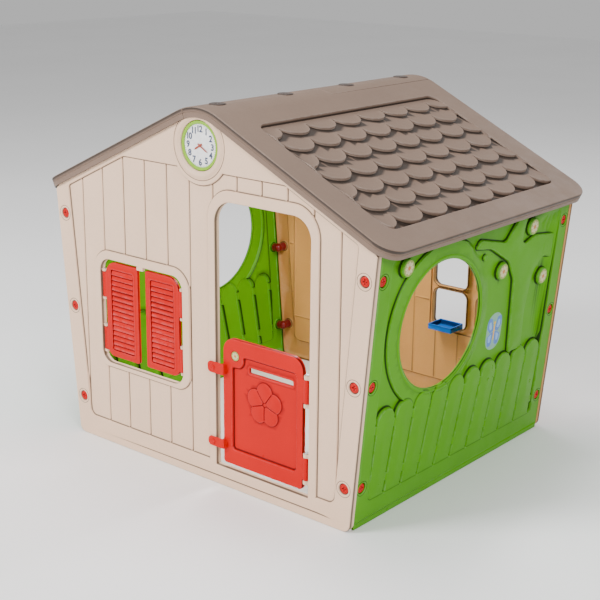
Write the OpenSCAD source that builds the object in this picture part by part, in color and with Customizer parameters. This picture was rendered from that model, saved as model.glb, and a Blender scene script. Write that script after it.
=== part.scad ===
// Children's playhouse: four thin moulded wall panels, a roof in two halves, corner elbows with
// cap screws, a half door and a pair of window shutters. Millimetres, Z up, the origin on the
// floor at the centre of the house, the gable with the door towards -Y.

/* [House] */
// Width over the side walls at the floor
base_w = 1150; // [1146:1:1154]
// Depth over the front and back walls
base_d = 1070; // [1068:1:1072]
// Outward lean of each side wall in degrees
lean = 5.05; // [5:0.05:5.1]
// Thickness of every moulded skin and flange
skin = 5; // [4.5:0.1:5]
// Depth of the front and back wall pans
pan = 22; // [22:0.5:23]
// Depth of the side wall flanges
side_flange = 12; // [10:0.5:12]

/* [Roof] */
// Height at which the two roof planes would meet
apex = 1175; // [1175:1:1180]
// Slope of the roof in degrees
pitch = 25.5; // [25.4:0.1:25.6]
// Distance from the middle to the eave
eave_x = 700; // [698:1:704]
// Depth of the roof over its gable edges
roof_d = 1086; // [1084:1:1090]
// Depth of the roof's edge fascia, square to the slope
fascia = 31; // [28:1:31]
// Radius of the ridge
ridge_r = 186; // [184:1:188]
// Number of shingle rows on each half
rows = 7; // [5:1:7]

/* [Openings] */
// Centre of the door hinge, from the middle
hinge_x = 405; // [404:1:406]
// Radius of the door hinge barrels
barrel_r = 10; // [9:0.5:10]
// Running clearance of every hinge pin
run = 0.05; // [0.02:0.01:0.08]
// Middle of the front window
window_x = -264; // [-266:1:-262]
// Distance of each shutter hinge from the middle of the window
shutter_reach = 174; // [173:0.5:174]

/* [Fixings] */
// Radius of a cap screw's head
cap_r = 15; // [13:0.5:15]
// Distance of the cap screws in from the leaning edge
cap_in = 33.5; // [33:0.5:34]
// Distance of the side wall cap screws from the middle
cap_y = 491; // [490.5:0.5:491]
// Radius of the corner elbows
elbow_r = 16; // [14:0.5:17]

/* [Hidden] */
$fn = 48;
arc_step = 12;
over = 1;

beige = [0.91, 0.84, 0.78];
tan_brown = [0.71, 0.51, 0.31];
green = [0.40, 0.64, 0.05];
taupe = [0.65, 0.58, 0.53];
red = [0.92, 0.20, 0.18];
dark_red = [0.62, 0.10, 0.12];
steel = [0.75, 0.76, 0.78];

// Heights of the three corner fixings
cap_z = [750, 442, 131];
cup_depth = 13;
cup_r = 20;
recess_depth = 8;
recess_r = 17;
shank_r = 4;
shank_hole_r = 4.3;
cap_top = 2;
shank_end = 28;
elbow_gap = 0.3;
// Level of the recessed plank panel, and how far it stays inside the leaning edge
panel_depth = 6;
panel_edge = 63;
plank = 95.3;
groove_w = 6;
groove_depth = 3;
// Where the gable wall's top corner is cut back under the roof
shoulder_z = 825;
shoulder_x = 600;
wall_gap = 1.1;
// The side wall's levels
side_top = 861.3;
side_end = base_d / 2 - pan - 0.5;
side_panel = 16;
ring_depth = 7;
core_wall = 5.3;
// The roof's levels: the shingle field, and the lap strip under the ridge
field_depth = 11;
field_start = 158;
field_end = 690;
field_y = 443;
eave_s = eave_x / cos(pitch);
shingle = 123.5;
row_pitch = 75.5;
first_tip = 233;
row_length = 148;
row_rise = 13;
flap_angle = 18.8;
lap_top = 5.3;
lap_bottom = 9.8;
ridge_z = apex - ridge_r / cos(pitch);
ridge_caps = [-455, -152, 152, 455];
ridge_flat = ridge_z + ridge_r - 1.7;
ridge_cap_r = 25;
// The door, its hinge and its stops
door_front = 8;
door_back = 23;
hinge_depth = 15;
door_pin_r = 4;
door_barrels = [[110, 180], [348, 420]];
door_lug = 12;
// The shutters and their hinges
shutter_front = 6;
shutter_back = 17;
shutter_hinge_depth = 13;
shutter_barrel_r = 8;
shutter_pin_r = 3;
shutter_barrels = [[322, 398], [500, 583]];
shutter_lug = 8;
lug_gap = 1;
// The side wall's round window, a slightly tilted oval
oval_at = [-165, 547];
oval_r = [213, 195];
oval_tilt = -34;
ring_w = 57;
sticker_t = 0.8;
boss_r = 28;
bosses = [[-376, 765], [146, 645], [302, 760], [406, 575]];

function outer(z) = base_w / 2 + z * tan(lean);
function roof_z(x, depth) = apex - depth / cos(pitch) - abs(x) * tan(pitch);
function unit(v) = v / norm(v);
function turn_of(a, b, c) = (b - a)[0] * (c - b)[1] - (b - a)[1] * (c - b)[0];
function left_of(a, b) = unit([a[1] - b[1], b[0] - a[0]]);
function spot(s, i) = let (p = s[(i + len(s)) % len(s)]) [p[0], p[1]];

// A corner b between a and c, rounded with radius r
function arc_at(a, b, c, r) =
    r < 0.1 ? [b] :
    let (
        u = unit(a - b),
        w = unit(c - b),
        half = acos(u * w) / 2,
        centre = b + unit(u + w) * r / sin(half),
        from = b + u * r / tan(half) - centre,
        turn = (180 - 2 * half) * sign(turn_of(a, b, c)),
        steps = max(2, ceil(abs(turn) / arc_step))
    )
    [for (i = [0 : steps])
        let (t = turn * i / steps)
        centre + [from[0] * cos(t) - from[1] * sin(t), from[0] * sin(t) + from[1] * cos(t)]];

// A shape is a list of corners [x, y, radius], anticlockwise; its outline has the arcs
function outline(s) =
    [for (i = [0 : len(s) - 1]) each arc_at(spot(s, i - 1), spot(s, i), spot(s, i + 1), s[i][2])];

// The same shape with every edge moved inwards by d, or outwards if d is negative
function inset(s, d) =
    [for (i = [0 : len(s) - 1])
        let (
            a = spot(s, i - 1),
            b = spot(s, i),
            c = spot(s, i + 1),
            n = left_of(a, b),
            m = left_of(b, c),
            p = b + d * (n + m) / (1 + n * m),
            r = s[i][2]
        )
        [p[0], p[1], r < 0.1 ? 0 : max(r - d * sign(turn_of(a, b, c)), 0.5)]];

function box_shape(x0, z0, x1, z1, r) =
    [[x0, z0, r], [x1, z0, r], [x1, z1, r], [x0, z1, r]];
function oval(grow) =
    [for (t = [0 : 7.5 : 359])
        let (p = [(oval_r[0] + grow) * cos(t), (oval_r[1] + grow) * sin(t)])
        oval_at + [p[0] * cos(oval_tilt) - p[1] * sin(oval_tilt),
            p[0] * sin(oval_tilt) + p[1] * cos(oval_tilt)]];

// Both gable walls
gable_shape = [
    [-base_w / 2, 0, 25],
    [base_w / 2, 0, 25],
    [outer(shoulder_z), shoulder_z, 0],
    [shoulder_x, roof_z(shoulder_x, skin) - wall_gap, 0],
    [0, roof_z(0, skin) - wall_gap, ridge_r - skin - wall_gap],
    [-shoulder_x, roof_z(shoulder_x, skin) - wall_gap, 0],
    [-outer(shoulder_z), shoulder_z, 0]];
panel_shape = [
    [-outer(73) + panel_edge, 73, 25],
    [outer(73) - panel_edge, 73, 25],
    [outer(846) - panel_edge, 846, 12],
    [325, 972, 20],
    [-325, 972, 20],
    [-outer(846) + panel_edge, 846, 12]];
clock_at = [0, 1042];
clock_boss_r = 115;
clock_r = 73;
dial_r = 63;
dial_front = 3;
dial_back = 9.8;
clock_seat = 10;
door_shape = [[58.5, 62, 3], [423, 62, 3], [423, 892, 65], [58.5, 892, 65]];
door_surround = [[30.5, 30, 3], [452, 30, 3], [452, 926, 90], [30.5, 926, 90]];
window_shape = box_shape(window_x - 184, 282, window_x + 184, 630, 42);
window_surround = [
    [window_x - 214, 268, 56],
    [window_x + 214, 268, 56],
    [window_x + 214, 657, 70],
    [window_x - 214, 657, 70]];
// Back window: two columns of two panes, arched at the top
pane_columns = [[-452, -315], [-273, -136]];
pane_round = 24;
pane_shapes = [for (c = pane_columns) each [
    box_shape(c[0], 280, c[1], 416, pane_round),
    c[0] < -400
        ? [[c[0], 429, pane_round], [c[1], 429, pane_round], [c[1], 580, pane_round], [c[0], 580, 75]]
        : [[c[0], 429, pane_round], [c[1], 429, pane_round], [c[1], 580, 75], [c[0], 580, pane_round]]]];
pane_surround = [[-474, 258, 20], [-114, 258, 20], [-114, 602, 95], [-474, 602, 95]];

// Side wall relief
side_shape = [
    [-side_end, 0, 4],
    [side_end, 0, 4],
    [side_end, side_top, 4],
    [-side_end, side_top, 4]];
side_panel_shape = box_shape(-455, 75, 461, 800, 15);
tree_shape = [
    [255, 345, 6],
    [332, 345, 6],
    [322, 470, 60],
    [338, 600, 60],
    [392, 645, 30],
    [447, 633, 4],
    [447, 712, 4],
    [325, 728, 90],
    [238, 700, 25],
    [262, 803, 0],
    [214, 803, 0],
    [150, 736, 30],
    [0, 772, 20],
    [-20, 745, 6],
    [68, 730, 60],
    [182, 667, 60],
    [227, 600, 60]];
picket_count = 10;
picket_pitch = 90.8;
picket_gap = 8;
picket_start = -448;
picket_top = 350;
picket_low = 66;
picket_round = 40;
rails = [[110, 136], [279, 307]];
rail_depth = 4;
function groove_x(i, z) =
    picket_start + picket_pitch * i + (z - 307) * tan(3 + 6.5 * sin(180 * i / picket_count));
function picket_shape(i) = [
    [groove_x(i, picket_low) + picket_gap / 2, picket_low, 0],
    [groove_x(i + 1, picket_low) - picket_gap / 2, picket_low, 0],
    [groove_x(i + 1, picket_top) - picket_gap / 2, picket_top, picket_round],
    [groove_x(i, picket_top) + picket_gap / 2, picket_top, picket_round]];

// Door leaf
leaf_shape = [[83, 76, 10], [393.5, 76, 10], [393.5, 480, 42], [83, 480, 42]];
leaf_panel = [
    [119, 127, 12],
    [369.5, 127, 12],
    [369.5, 430, 12],
    [163, 430, 8],
    [163, 391, 26],
    [119, 391, 8]];
letter_slot = [[184, 386, 4], [350, 386, 4], [350, 401, 4], [184, 401, 4]];
door_sticker_at = [132, 428];
petals_at = [243, 300];
stops = [[362, 397], [124, 154]];

module shape(s) {
    polygon(outline(s));
}

// A flat layer between two depths below the outer face
module layer(from, to) {
    translate([0, 0, -to])
        linear_extrude(to - from) children();
}

module at_front() {
    translate([0, -base_d / 2, 0]) rotate([90, 0, 0]) children();
}

module at_back() {
    rotate([0, 0, 180]) at_front() children();
}

module at_right() {
    translate([base_w / 2, 0, 0]) rotate([0, lean, 0]) rotate([90, 0, 90]) children();
}

module at_left() {
    rotate([0, 0, 180]) at_right() children();
}

module at_gable_caps() {
    for (z = cap_z, side = [-1, 1])
        translate([side * (outer(z) - cap_in), z, 0]) children();
}

module at_side_caps() {
    for (z = cap_z, side = [-1, 1])
        translate([side * cap_y, z / cos(lean) - cap_in * sin(lean), 0]) children();
}

// Openings of a gable wall, grown by d
module gable_openings(side, d) {
    if (side == "front") {
        shape(inset(door_shape, -d));
        shape(inset(window_shape, -d));
    } else {
        for (s = pane_shapes) shape(inset(s, -d));
    }
}

// The part of a gable wall that is sunk, grown by d
module gable_panel(side, d) {
    difference() {
        shape(inset(panel_shape, -d));
        if (side == "front") {
            translate(clock_at) circle(clock_boss_r - d);
            shape(inset(door_surround, d));
            shape(inset(window_surround, d));
        } else {
            shape(inset(pane_surround, d));
        }
    }
}

module plank_grooves() {
    for (i = [0 : 5], side = [-1, 1])
        translate([side * (i + 0.5) * plank - groove_w / 2, 60])
            square([groove_w, 940]);
}

module gable_wall(side) {
    difference() {
        union() {
            difference() {
                layer(0, pan) shape(gable_shape);
                layer(skin, pan + over) difference() {
                    shape(inset(gable_shape, skin));
                    gable_openings(side, skin);
                }
            }
            layer(panel_depth - over, panel_depth + skin) gable_panel(side, skin);
            at_gable_caps() layer(skin - over, cup_depth) circle(cup_r);
            if (side == "front")
                translate(clock_at) layer(skin - over, clock_seat + skin) circle(clock_r + skin + 1);
        }
        layer(-over, panel_depth) gable_panel(side, 0);
        layer(panel_depth - over, panel_depth + groove_depth) intersection() {
            gable_panel(side, -2);
            plank_grooves();
        }
        layer(-over, groove_depth) translate([-515, 25]) square([1030, 6]);
        layer(-over, pan + over) gable_openings(side, 0);
        at_gable_caps() layer(-over, recess_depth) circle(recess_r);
        at_gable_caps() layer(-over, cup_depth + over) circle(shank_hole_r);
        if (side == "front")
            translate(clock_at) layer(-over, clock_seat) circle(clock_r + 1);
    }
}

// A hinge lug: a ring round the axis at the origin with an arm towards +X
module lug(ring_r, bore_r, arm, front, back, height) {
    difference() {
        linear_extrude(height) union() {
            circle(ring_r);
            translate([0, -front]) square([arm, front + back]);
        }
        translate([0, 0, -over]) cylinder(r = bore_r, h = height + 2 * over);
    }
}

module door_lugs() {
    for (b = door_barrels, z = [b[0] - lug_gap - door_lug, b[1] + lug_gap])
        translate([hinge_x, -base_d / 2 + hinge_depth, z])
            lug(barrel_r, door_pin_r + run, 20, 7, 7, door_lug);
}

module shutter_lugs() {
    for (b = shutter_barrels, z = [b[0] - lug_gap - shutter_lug, b[1] + lug_gap])
        for (side = [-1, 1])
            translate([window_x + side * shutter_reach, -base_d / 2 + shutter_hinge_depth, z])
                rotate([0, 0, side > 0 ? 0 : 180])
                    lug(shutter_barrel_r, shutter_pin_r + run, 12, 6.5, 6.5, shutter_lug);
}

module front_wall() color(beige) {
    at_front() gable_wall("front");
    door_lugs();
    shutter_lugs();
    // The stop between the shutters
    at_front() layer(0, 12) translate([window_x - 14, 618]) square([28, 14]);
}

module back_wall() color(tan_brown) {
    at_back() gable_wall("back");
}

// A raised shape of the side wall
module relief(s) {
    layer(0, side_panel + skin) shape(s);
}

// The hollow behind a raised shape
module core(s) {
    layer(skin, side_panel + skin + over) shape(inset(s, core_wall));
}

module side_wall() {
    difference() {
        union() {
            difference() {
                layer(0, side_panel + skin) shape(inset(side_panel_shape, -skin));
                layer(-over, side_panel) shape(side_panel_shape);
            }
            difference() {
                layer(0, side_flange) shape(side_shape);
                layer(skin, side_flange + over) shape(inset(side_shape, skin));
                layer(-over, side_flange + over) shape(side_panel_shape);
            }
            layer(ring_depth, side_panel + over) polygon(oval(ring_w));
            for (i = [0 : picket_count - 1]) relief(picket_shape(i));
            relief(tree_shape);
            for (r = rails)
                layer(rail_depth, side_panel + over)
                    translate([-458, r[0]]) square([922, r[1] - r[0]]);
            for (p = bosses)
                translate(p) layer(1, side_panel + over) circle(boss_r);
            at_side_caps() layer(skin - over, cup_depth) circle(cup_r);
        }
        for (i = [0 : picket_count - 1]) core(picket_shape(i));
        core(tree_shape);
        layer(-over, side_panel + skin + 2 * over) polygon(oval(0));
        layer(-over, groove_depth) translate([-440, 36]) square([880, 5]);
        at_side_caps() layer(-over, recess_depth) circle(recess_r);
        at_side_caps() layer(-over, cup_depth + over) circle(shank_hole_r);
    }
}

module right_wall() color(green) at_right() side_wall();
module left_wall() color(green) at_left() side_wall();

// Roof profile between two depths below its top face, from an angle on the ridge to the eave
module roof_band(start, from, to, reach) {
    function ridge_arc(depth) =
        [for (i = [0 : 12])
            let (t = start + (pitch - start) * i / 12)
            [(ridge_r - depth) * sin(t), ridge_z + (ridge_r - depth) * cos(t)]];
    function far_point(depth) =
        [reach * cos(pitch) - depth * sin(pitch), apex - reach * sin(pitch) - depth * cos(pitch)];
    top = concat(ridge_arc(from), [far_point(from)]);
    bottom = concat(ridge_arc(to), [far_point(to)]);
    polygon(concat(top, [for (i = [len(bottom) - 1 : -1 : 0]) bottom[i]]));
}

module along_roof(y0, y1) {
    translate([0, y1, 0]) rotate([90, 0, 0]) linear_extrude(y1 - y0) children();
}

module at_slope() {
    translate([0, 0, apex]) rotate([0, pitch, 0]) children();
}

module scallops(i) {
    tip = first_tip + row_pitch * i;
    shift = i % 2 == 0 ? 0.5 : 0;
    intersection() {
        translate([tip - row_length, -field_y]) square([row_length + over, 2 * field_y]);
        union() {
            translate([tip - row_length, -field_y])
                square([row_length - shingle / 2 + 12, 2 * field_y]);
            for (j = [-4 : 4])
                translate([tip - shingle / 2, (j + shift) * shingle]) circle(shingle / 2);
        }
    }
}

module shingle_row(i) {
    tip = first_tip + row_pitch * i;
    intersection() {
        translate([0, 0, -field_depth - over]) linear_extrude(row_rise + 2 * over) scallops(i);
        translate([0, field_y + over, 0]) rotate([90, 0, 0])
            linear_extrude(2 * (field_y + over))
                polygon([
                    [tip - row_length, -field_depth - over],
                    [tip + over, -field_depth - over],
                    [tip + over, row_rise - field_depth],
                    [tip - row_length, -field_depth + 0.2]]);
    }
}

roof_outline = [
    [-260, -roof_d / 2, 0],
    [eave_s, -roof_d / 2, 70],
    [eave_s, roof_d / 2, 70],
    [-260, roof_d / 2, 0]];
field_shape = [
    [field_start, -field_y, 12],
    [field_end, -field_y, 30],
    [field_end, field_y, 30],
    [field_start, field_y, 12]];

module roof_half() {
    difference() {
        union() {
            difference() {
                intersection() {
                    along_roof(-roof_d / 2, roof_d / 2)
                        roof_band(-flap_angle, 0, fascia, eave_s);
                    at_slope() translate([0, 0, -300]) linear_extrude(600) shape(roof_outline);
                }
                intersection() {
                    along_roof(-roof_d / 2, roof_d / 2)
                        roof_band(-flap_angle - 3, skin, fascia + over, eave_s + over);
                    at_slope() translate([0, 0, -300]) linear_extrude(600)
                        shape(inset(roof_outline, skin));
                }
                translate([-200, 0, ridge_z])
                    cube([200.5 + ridge_r * sin(flap_angle), roof_d, 400]);
            }
            at_slope() layer(skin - over, field_depth + skin) shape(inset(field_shape, -skin));
        }
        at_slope() layer(-over, field_depth) shape(field_shape);
        for (y = ridge_caps) ridge_seat(y);
    }
    at_slope() for (i = [0 : rows - 1]) shingle_row(i);
    lap_strip();
}

// The strip that runs under the other half's ridge flap
module lap_strip() {
    strip_end = 90 / cos(pitch);
    lap_end = base_d / 2 - pan - 1;
    difference() {
        union() {
            along_roof(1, lap_end) roof_band(-11, lap_top, lap_bottom, strip_end);
            along_roof(1, lap_end) roof_band(20.5, skin - over, lap_bottom, strip_end);
        }
        for (y = ridge_caps)
            translate([0, y, ridge_z]) cylinder(r = shank_hole_r, h = 300);
    }
}

module ridge_seat(y) {
    translate([0, y, ridge_flat]) cylinder(r = ridge_cap_r + 1, h = 10);
    translate([0, y, ridge_z]) cylinder(r = shank_hole_r, h = 300);
}

module roof_right() color(taupe) roof_half();
module roof_left() color(taupe) rotate([0, 0, 180]) roof_half();

module ridge_screws() color(taupe * 0.6) {
    for (y = ridge_caps)
        translate([0, y, ridge_flat]) {
            cylinder(r = ridge_cap_r, h = 3.5);
            translate([0, 0, -30]) cylinder(r = shank_r, h = 31);
        }
}

// A cap screw, its head's top just under the wall's outer face
module cap_screw() {
    difference() {
        union() {
            layer(cap_top, recess_depth - 0.05) circle(cap_r);
            layer(cap_top + over, shank_end) circle(shank_r);
        }
        for (a = [0, 90])
            rotate([0, 0, a]) layer(cap_top - over, cap_top + 3) square([15, 3.5], center = true);
    }
}

module front_wall_screws() color(red) at_front() at_gable_caps() cap_screw();
module back_wall_screws() color(red) at_back() at_gable_caps() cap_screw();
module right_wall_screws() color(red) at_right() at_side_caps() cap_screw();
module left_wall_screws() color(red) at_left() at_side_caps() cap_screw();

// A corner elbow at the front right corner, at height z
module elbow(z) {
    arm_y = base_d / 2 - cap_y - cup_depth - elbow_gap;
    at_wall = [cap_y * -1, z / cos(lean) - cap_in * sin(lean), 0];
    difference() {
        union() {
            translate([outer(z) - cap_in, -cap_y, z]) {
                rotate([90, 0, 0]) cylinder(r = elbow_r, h = arm_y);
                rotate([0, 0, 135]) sphere(r = elbow_r + 1);
            }
            at_right() translate(at_wall)
                layer(cup_depth + elbow_gap, cap_in * cos(lean)) circle(elbow_r);
        }
        translate([outer(z) - cap_in, -cap_y, z])
            rotate([90, 0, 0]) translate([0, 0, 12]) cylinder(r = shank_hole_r, h = arm_y);
        at_right() translate(at_wall) layer(cup_depth - over, shank_end + over) circle(shank_hole_r);
    }
}

module bracket(side_x, side_y, z) {
    color(dark_red)
        mirror([side_x < 0 ? 1 : 0, 0, 0]) mirror([0, side_y > 0 ? 1 : 0, 0]) elbow(z);
}

module door() color(red) {
    difference() {
        union() {
            at_front() difference() {
                layer(door_front, door_back) shape(leaf_shape);
                layer(door_front - over, door_front + skin) shape(leaf_panel);
                layer(door_front + 9, door_back + over) shape(inset(leaf_shape, skin));
                layer(0, door_back + over) shape(letter_slot);
                translate(door_sticker_at) layer(0, door_front + 1) circle(18);
            }
            // Raised petals
            at_front() translate(petals_at) {
                layer(door_front + 2, door_front + skin + over) circle(20);
                for (a = [0 : 72 : 359])
                    rotate([0, 0, a + 90]) translate([42, 0])
                        layer(door_front + 2, door_front + skin + over) circle(26);
            }
            for (b = door_barrels)
                translate([hinge_x, -base_d / 2 + hinge_depth, b[0]]) {
                    cylinder(r = barrel_r, h = b[1] - b[0]);
                    translate([-16, -7, 0]) cube([16, 14, b[1] - b[0]]);
                }
            for (s = stops) door_stop(s[0], s[1]);
        }
        for (b = door_barrels)
            translate([hinge_x, -base_d / 2 + hinge_depth, b[0] - over])
                cylinder(r = door_pin_r + run, h = b[1] - b[0] + 2 * over);
    }
}

// A tab that overlaps the wall and keeps the door from swinging in
module door_stop(z0, z1) {
    at_front() {
        layer(-6, -1) shape(box_shape(31, z0, 97, z1, 6));
        layer(-6, door_front + 4) shape(box_shape(84, z0, 97, z1, 3));
        translate([52, (z0 + z1) / 2]) layer(-9, -5) circle(9);
    }
}

module door_pin(b) {
    low = b[0] - lug_gap - door_lug;
    high = b[1] + lug_gap + door_lug;
    color(steel) translate([hinge_x, -base_d / 2 + hinge_depth, low]) {
        cylinder(r = door_pin_r, h = high - low + 2);
        translate([0, 0, high - low + 0.2]) cylinder(r = 6.5, h = 3);
    }
}

module door_pin_bottom() door_pin(door_barrels[0]);
module door_pin_top() door_pin(door_barrels[1]);

// One shutter, hinged on the +X side of the window
module shutter() {
    reach = shutter_reach - 9.5;
    difference() {
        union() {
            at_front() translate([window_x, 0]) difference() {
                layer(shutter_front, shutter_back)
                    shape([[17, 304, 8], [reach, 304, 30], [reach, 622, 45], [17, 622, 8]]);
                layer(shutter_front - over, shutter_front + skin)
                    shape(box_shape(39, 326, 141, 596, 6));
            }
            louvres();
            for (b = shutter_barrels)
                translate([window_x + shutter_reach, -base_d / 2 + shutter_hinge_depth, b[0]]) {
                    cylinder(r = shutter_barrel_r, h = b[1] - b[0]);
                    translate([-14, shutter_front - shutter_hinge_depth, 0])
                        cube([14, shutter_back - shutter_front, b[1] - b[0]]);
                }
        }
        for (b = shutter_barrels)
            translate([window_x + shutter_reach, -base_d / 2 + shutter_hinge_depth, b[0] - over])
                cylinder(r = shutter_pin_r + run, h = b[1] - b[0] + 2 * over);
    }
}

louvre_count = 16;
louvre_pitch = 16.7;
module louvres() {
    floor_y = -base_d / 2 + shutter_front + skin;
    teeth = [for (i = [0 : louvre_count - 1])
        let (z = 327.5 + i * louvre_pitch)
        each [[floor_y - 4.5, z], [floor_y - 1, z + louvre_pitch - 1.5], [floor_y, z + louvre_pitch - 1.5]]];
    translate([window_x + 38, 0, 0]) rotate([90, 0, 90])
        linear_extrude(104)
            polygon(concat([[floor_y + over, 327.5]], teeth, [[floor_y + over, teeth[len(teeth) - 1][1]]]));
}

module shutter_right() color(red) shutter();
module shutter_left() color(red)
    translate([window_x, 0, 0]) mirror([1, 0, 0]) translate([-window_x, 0, 0]) shutter();

module shutter_pins(side) {
    color(steel) for (b = shutter_barrels) {
        low = b[0] - lug_gap - shutter_lug;
        high = b[1] + lug_gap + shutter_lug;
        translate([window_x + side * shutter_reach, -base_d / 2 + shutter_hinge_depth, low])
            cylinder(r = shutter_pin_r, h = high - low + 1);
        translate([window_x + side * shutter_reach, -base_d / 2 + shutter_hinge_depth, high + 0.2])
            cylinder(r = 5, h = 2);
    }
}

module shutter_left_pins() shutter_pins(-1);
module shutter_right_pins() shutter_pins(1);

module clock_dial() color("white") at_front() translate(clock_at) difference() {
    layer(dial_front, dial_back) circle(clock_r);
    layer(dial_front - over, dial_front + 4) circle(dial_r);
}

// A tray that hooks over the sill of one lower pane of the back window
module window_shelf() color([0.10, 0.50, 0.80]) at_back() {
    difference() {
        translate([0, 0, -pan - 60]) linear_extrude(pan + 58)
            shape(box_shape(-253, 280.5, -156, 300, 3));
        translate([0, 0, -pan - 56]) linear_extrude(pan + 50)
            shape(box_shape(-249, 284.5, -160, 310, 3));
    }
}

module sticker(s) {
    layer(-sticker_t, 0) shape(s);
}

module flower_stickers() {
    for (p = bosses)
        translate(p) layer(1 - sticker_t, 1) circle(24);
}

module door_flower_sticker() color("yellow")
    at_front() translate(door_sticker_at) layer(door_front + 0.2, door_front + 1) circle(15);
module right_wall_flower_stickers() color("yellow") at_right() flower_stickers();
module left_wall_flower_stickers() color("yellow") at_left() flower_stickers();

picture_shape = box_shape(118, 378, 206, 502, 40);
module right_wall_picture_sticker() color("royalblue")
    at_right() translate([0, 0, -side_panel]) sticker(picture_shape);
module left_wall_picture_sticker() color("royalblue")
    at_left() translate([0, 0, -side_panel]) sticker(picture_shape);

front_wall();
back_wall();
right_wall();
left_wall();
roof_right();
roof_left();
ridge_screws();
front_wall_screws();
back_wall_screws();
right_wall_screws();
left_wall_screws();
bracket(-1, -1, cap_z[0]);  // bracket_front_left_top
bracket(-1, -1, cap_z[1]);  // bracket_front_left_mid
bracket(-1, -1, cap_z[2]);  // bracket_front_left_low
bracket(1, -1, cap_z[0]);  // bracket_front_right_top
bracket(1, -1, cap_z[1]);  // bracket_front_right_mid
bracket(1, -1, cap_z[2]);  // bracket_front_right_low
bracket(-1, 1, cap_z[0]);  // bracket_back_left_top
bracket(-1, 1, cap_z[1]);  // bracket_back_left_mid
bracket(-1, 1, cap_z[2]);  // bracket_back_left_low
bracket(1, 1, cap_z[0]);  // bracket_back_right_top
bracket(1, 1, cap_z[1]);  // bracket_back_right_mid
bracket(1, 1, cap_z[2]);  // bracket_back_right_low
door();
door_pin_top();
door_pin_bottom();
shutter_left();
shutter_right();
shutter_left_pins();
shutter_right_pins();
clock_dial();
window_shelf();
door_flower_sticker();
right_wall_flower_stickers();
left_wall_flower_stickers();
right_wall_picture_sticker();
left_wall_picture_sticker();
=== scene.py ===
import math

import bpy
import numpy as np
from mathutils import Matrix, Vector
from mathutils.geometry import delaunay_2d_cdt


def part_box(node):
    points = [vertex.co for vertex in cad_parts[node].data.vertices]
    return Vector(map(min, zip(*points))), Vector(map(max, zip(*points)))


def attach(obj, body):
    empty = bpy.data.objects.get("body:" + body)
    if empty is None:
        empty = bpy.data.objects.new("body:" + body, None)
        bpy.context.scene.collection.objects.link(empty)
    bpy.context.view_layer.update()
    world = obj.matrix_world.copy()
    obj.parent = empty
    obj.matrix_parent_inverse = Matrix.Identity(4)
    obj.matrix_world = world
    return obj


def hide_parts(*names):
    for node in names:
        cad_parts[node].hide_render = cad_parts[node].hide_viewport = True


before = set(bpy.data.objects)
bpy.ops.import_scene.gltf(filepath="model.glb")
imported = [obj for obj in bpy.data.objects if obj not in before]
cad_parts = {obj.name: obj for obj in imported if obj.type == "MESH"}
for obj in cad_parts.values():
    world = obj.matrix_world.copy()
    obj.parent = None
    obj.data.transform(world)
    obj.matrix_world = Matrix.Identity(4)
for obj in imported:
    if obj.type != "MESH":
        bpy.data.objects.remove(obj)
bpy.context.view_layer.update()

# Lengths in this script are millimetres; a mesh's vertices are metres.
MM = 0.001
HOUSE = "house"
# The reach for Zone.far where its distance has to be exact everywhere
FAR = 1e9


# ---- sizes read from the frame
def mm_box(node):
    """A CAD node's lowest and highest corner in millimetres."""
    low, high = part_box(node)
    return np.array(low) / MM, np.array(high) / MM


back_low, back_high = mm_box("back_wall")
roof_high = mm_box("roof_right")[1]
side_high = mm_box("right_wall")[1]
screw_high = mm_box("ridge_screws")[1]
tray_low, tray_high = mm_box("window_shelf")
HINGE_X, HINGE_Y, _ = sum(mm_box("door_pin_top")) / 2
SHUTTER_HINGE_X, SHUTTER_HINGE_Y, _ = sum(mm_box("shutter_right_pins")) / 2

LEAN = math.radians(5.05)
PITCH = math.radians(25.5)
SHOULDER_Z = 825.0
FACE_Y = back_high[1]
BASE_HALF = back_high[0] - SHOULDER_Z * math.tan(LEAN)
SKIN = 5.0
PAN = back_high[1] - back_low[1]
SIDE_END = side_high[1]
SIDE_TOP = side_high[2] / math.cos(LEAN) - 1.0
ROOF_HALF_D = roof_high[1]
EAVE_X = roof_high[0]
RIDGE_R = 186.0
RIDGE_Z = roof_high[2] - RIDGE_R
APEX = RIDGE_Z + RIDGE_R / math.cos(PITCH)


def outer(z):
    """Half width over the side walls at height z."""
    return BASE_HALF + z * math.tan(LEAN)


def roof_z(x, depth):
    """Height of the plane that lies depth below the roof's top face."""
    return APEX - depth / math.cos(PITCH) - abs(x) * math.tan(PITCH)


# ---- outlines
def spin(t):
    """A turn by t about the third axis."""
    c, s = math.cos(t), math.sin(t)
    return np.array([[c, -s, 0], [s, c, 0], [0, 0, 1]])


def turn_of(a, b, c):
    return (b[0] - a[0]) * (c[1] - b[1]) - (b[1] - a[1]) * (c[0] - b[0])


def unit(v):
    return v / np.linalg.norm(v)


def corners(shape, i):
    """Corner i of a shape with its two neighbours."""
    return (np.array(shape[(i + k) % len(shape)][:2], float) for k in (-1, 0, 1))


def rounded(shape, step=9.0):
    """The points of an outline given as anticlockwise corners (x, y, radius)."""
    points = []
    for i in range(len(shape)):
        a, b, c = corners(shape, i)
        radius = shape[i][2]
        u, w = unit(a - b), unit(c - b)
        half = math.acos(float(np.clip(u @ w, -1, 1))) / 2
        if radius < 0.1 or half > math.radians(89.5):
            points.append(b)
            continue
        centre = b + unit(u + w) * radius / math.sin(half)
        arm = b + u * radius / math.tan(half) - centre
        turn = (math.pi - 2 * half) * math.copysign(1, turn_of(a, b, c))
        steps = max(2, math.ceil(abs(turn) / math.radians(step)))
        points += [centre + spin(turn * k / steps)[:2, :2] @ arm for k in range(steps + 1)]
    return np.array(points)


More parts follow.
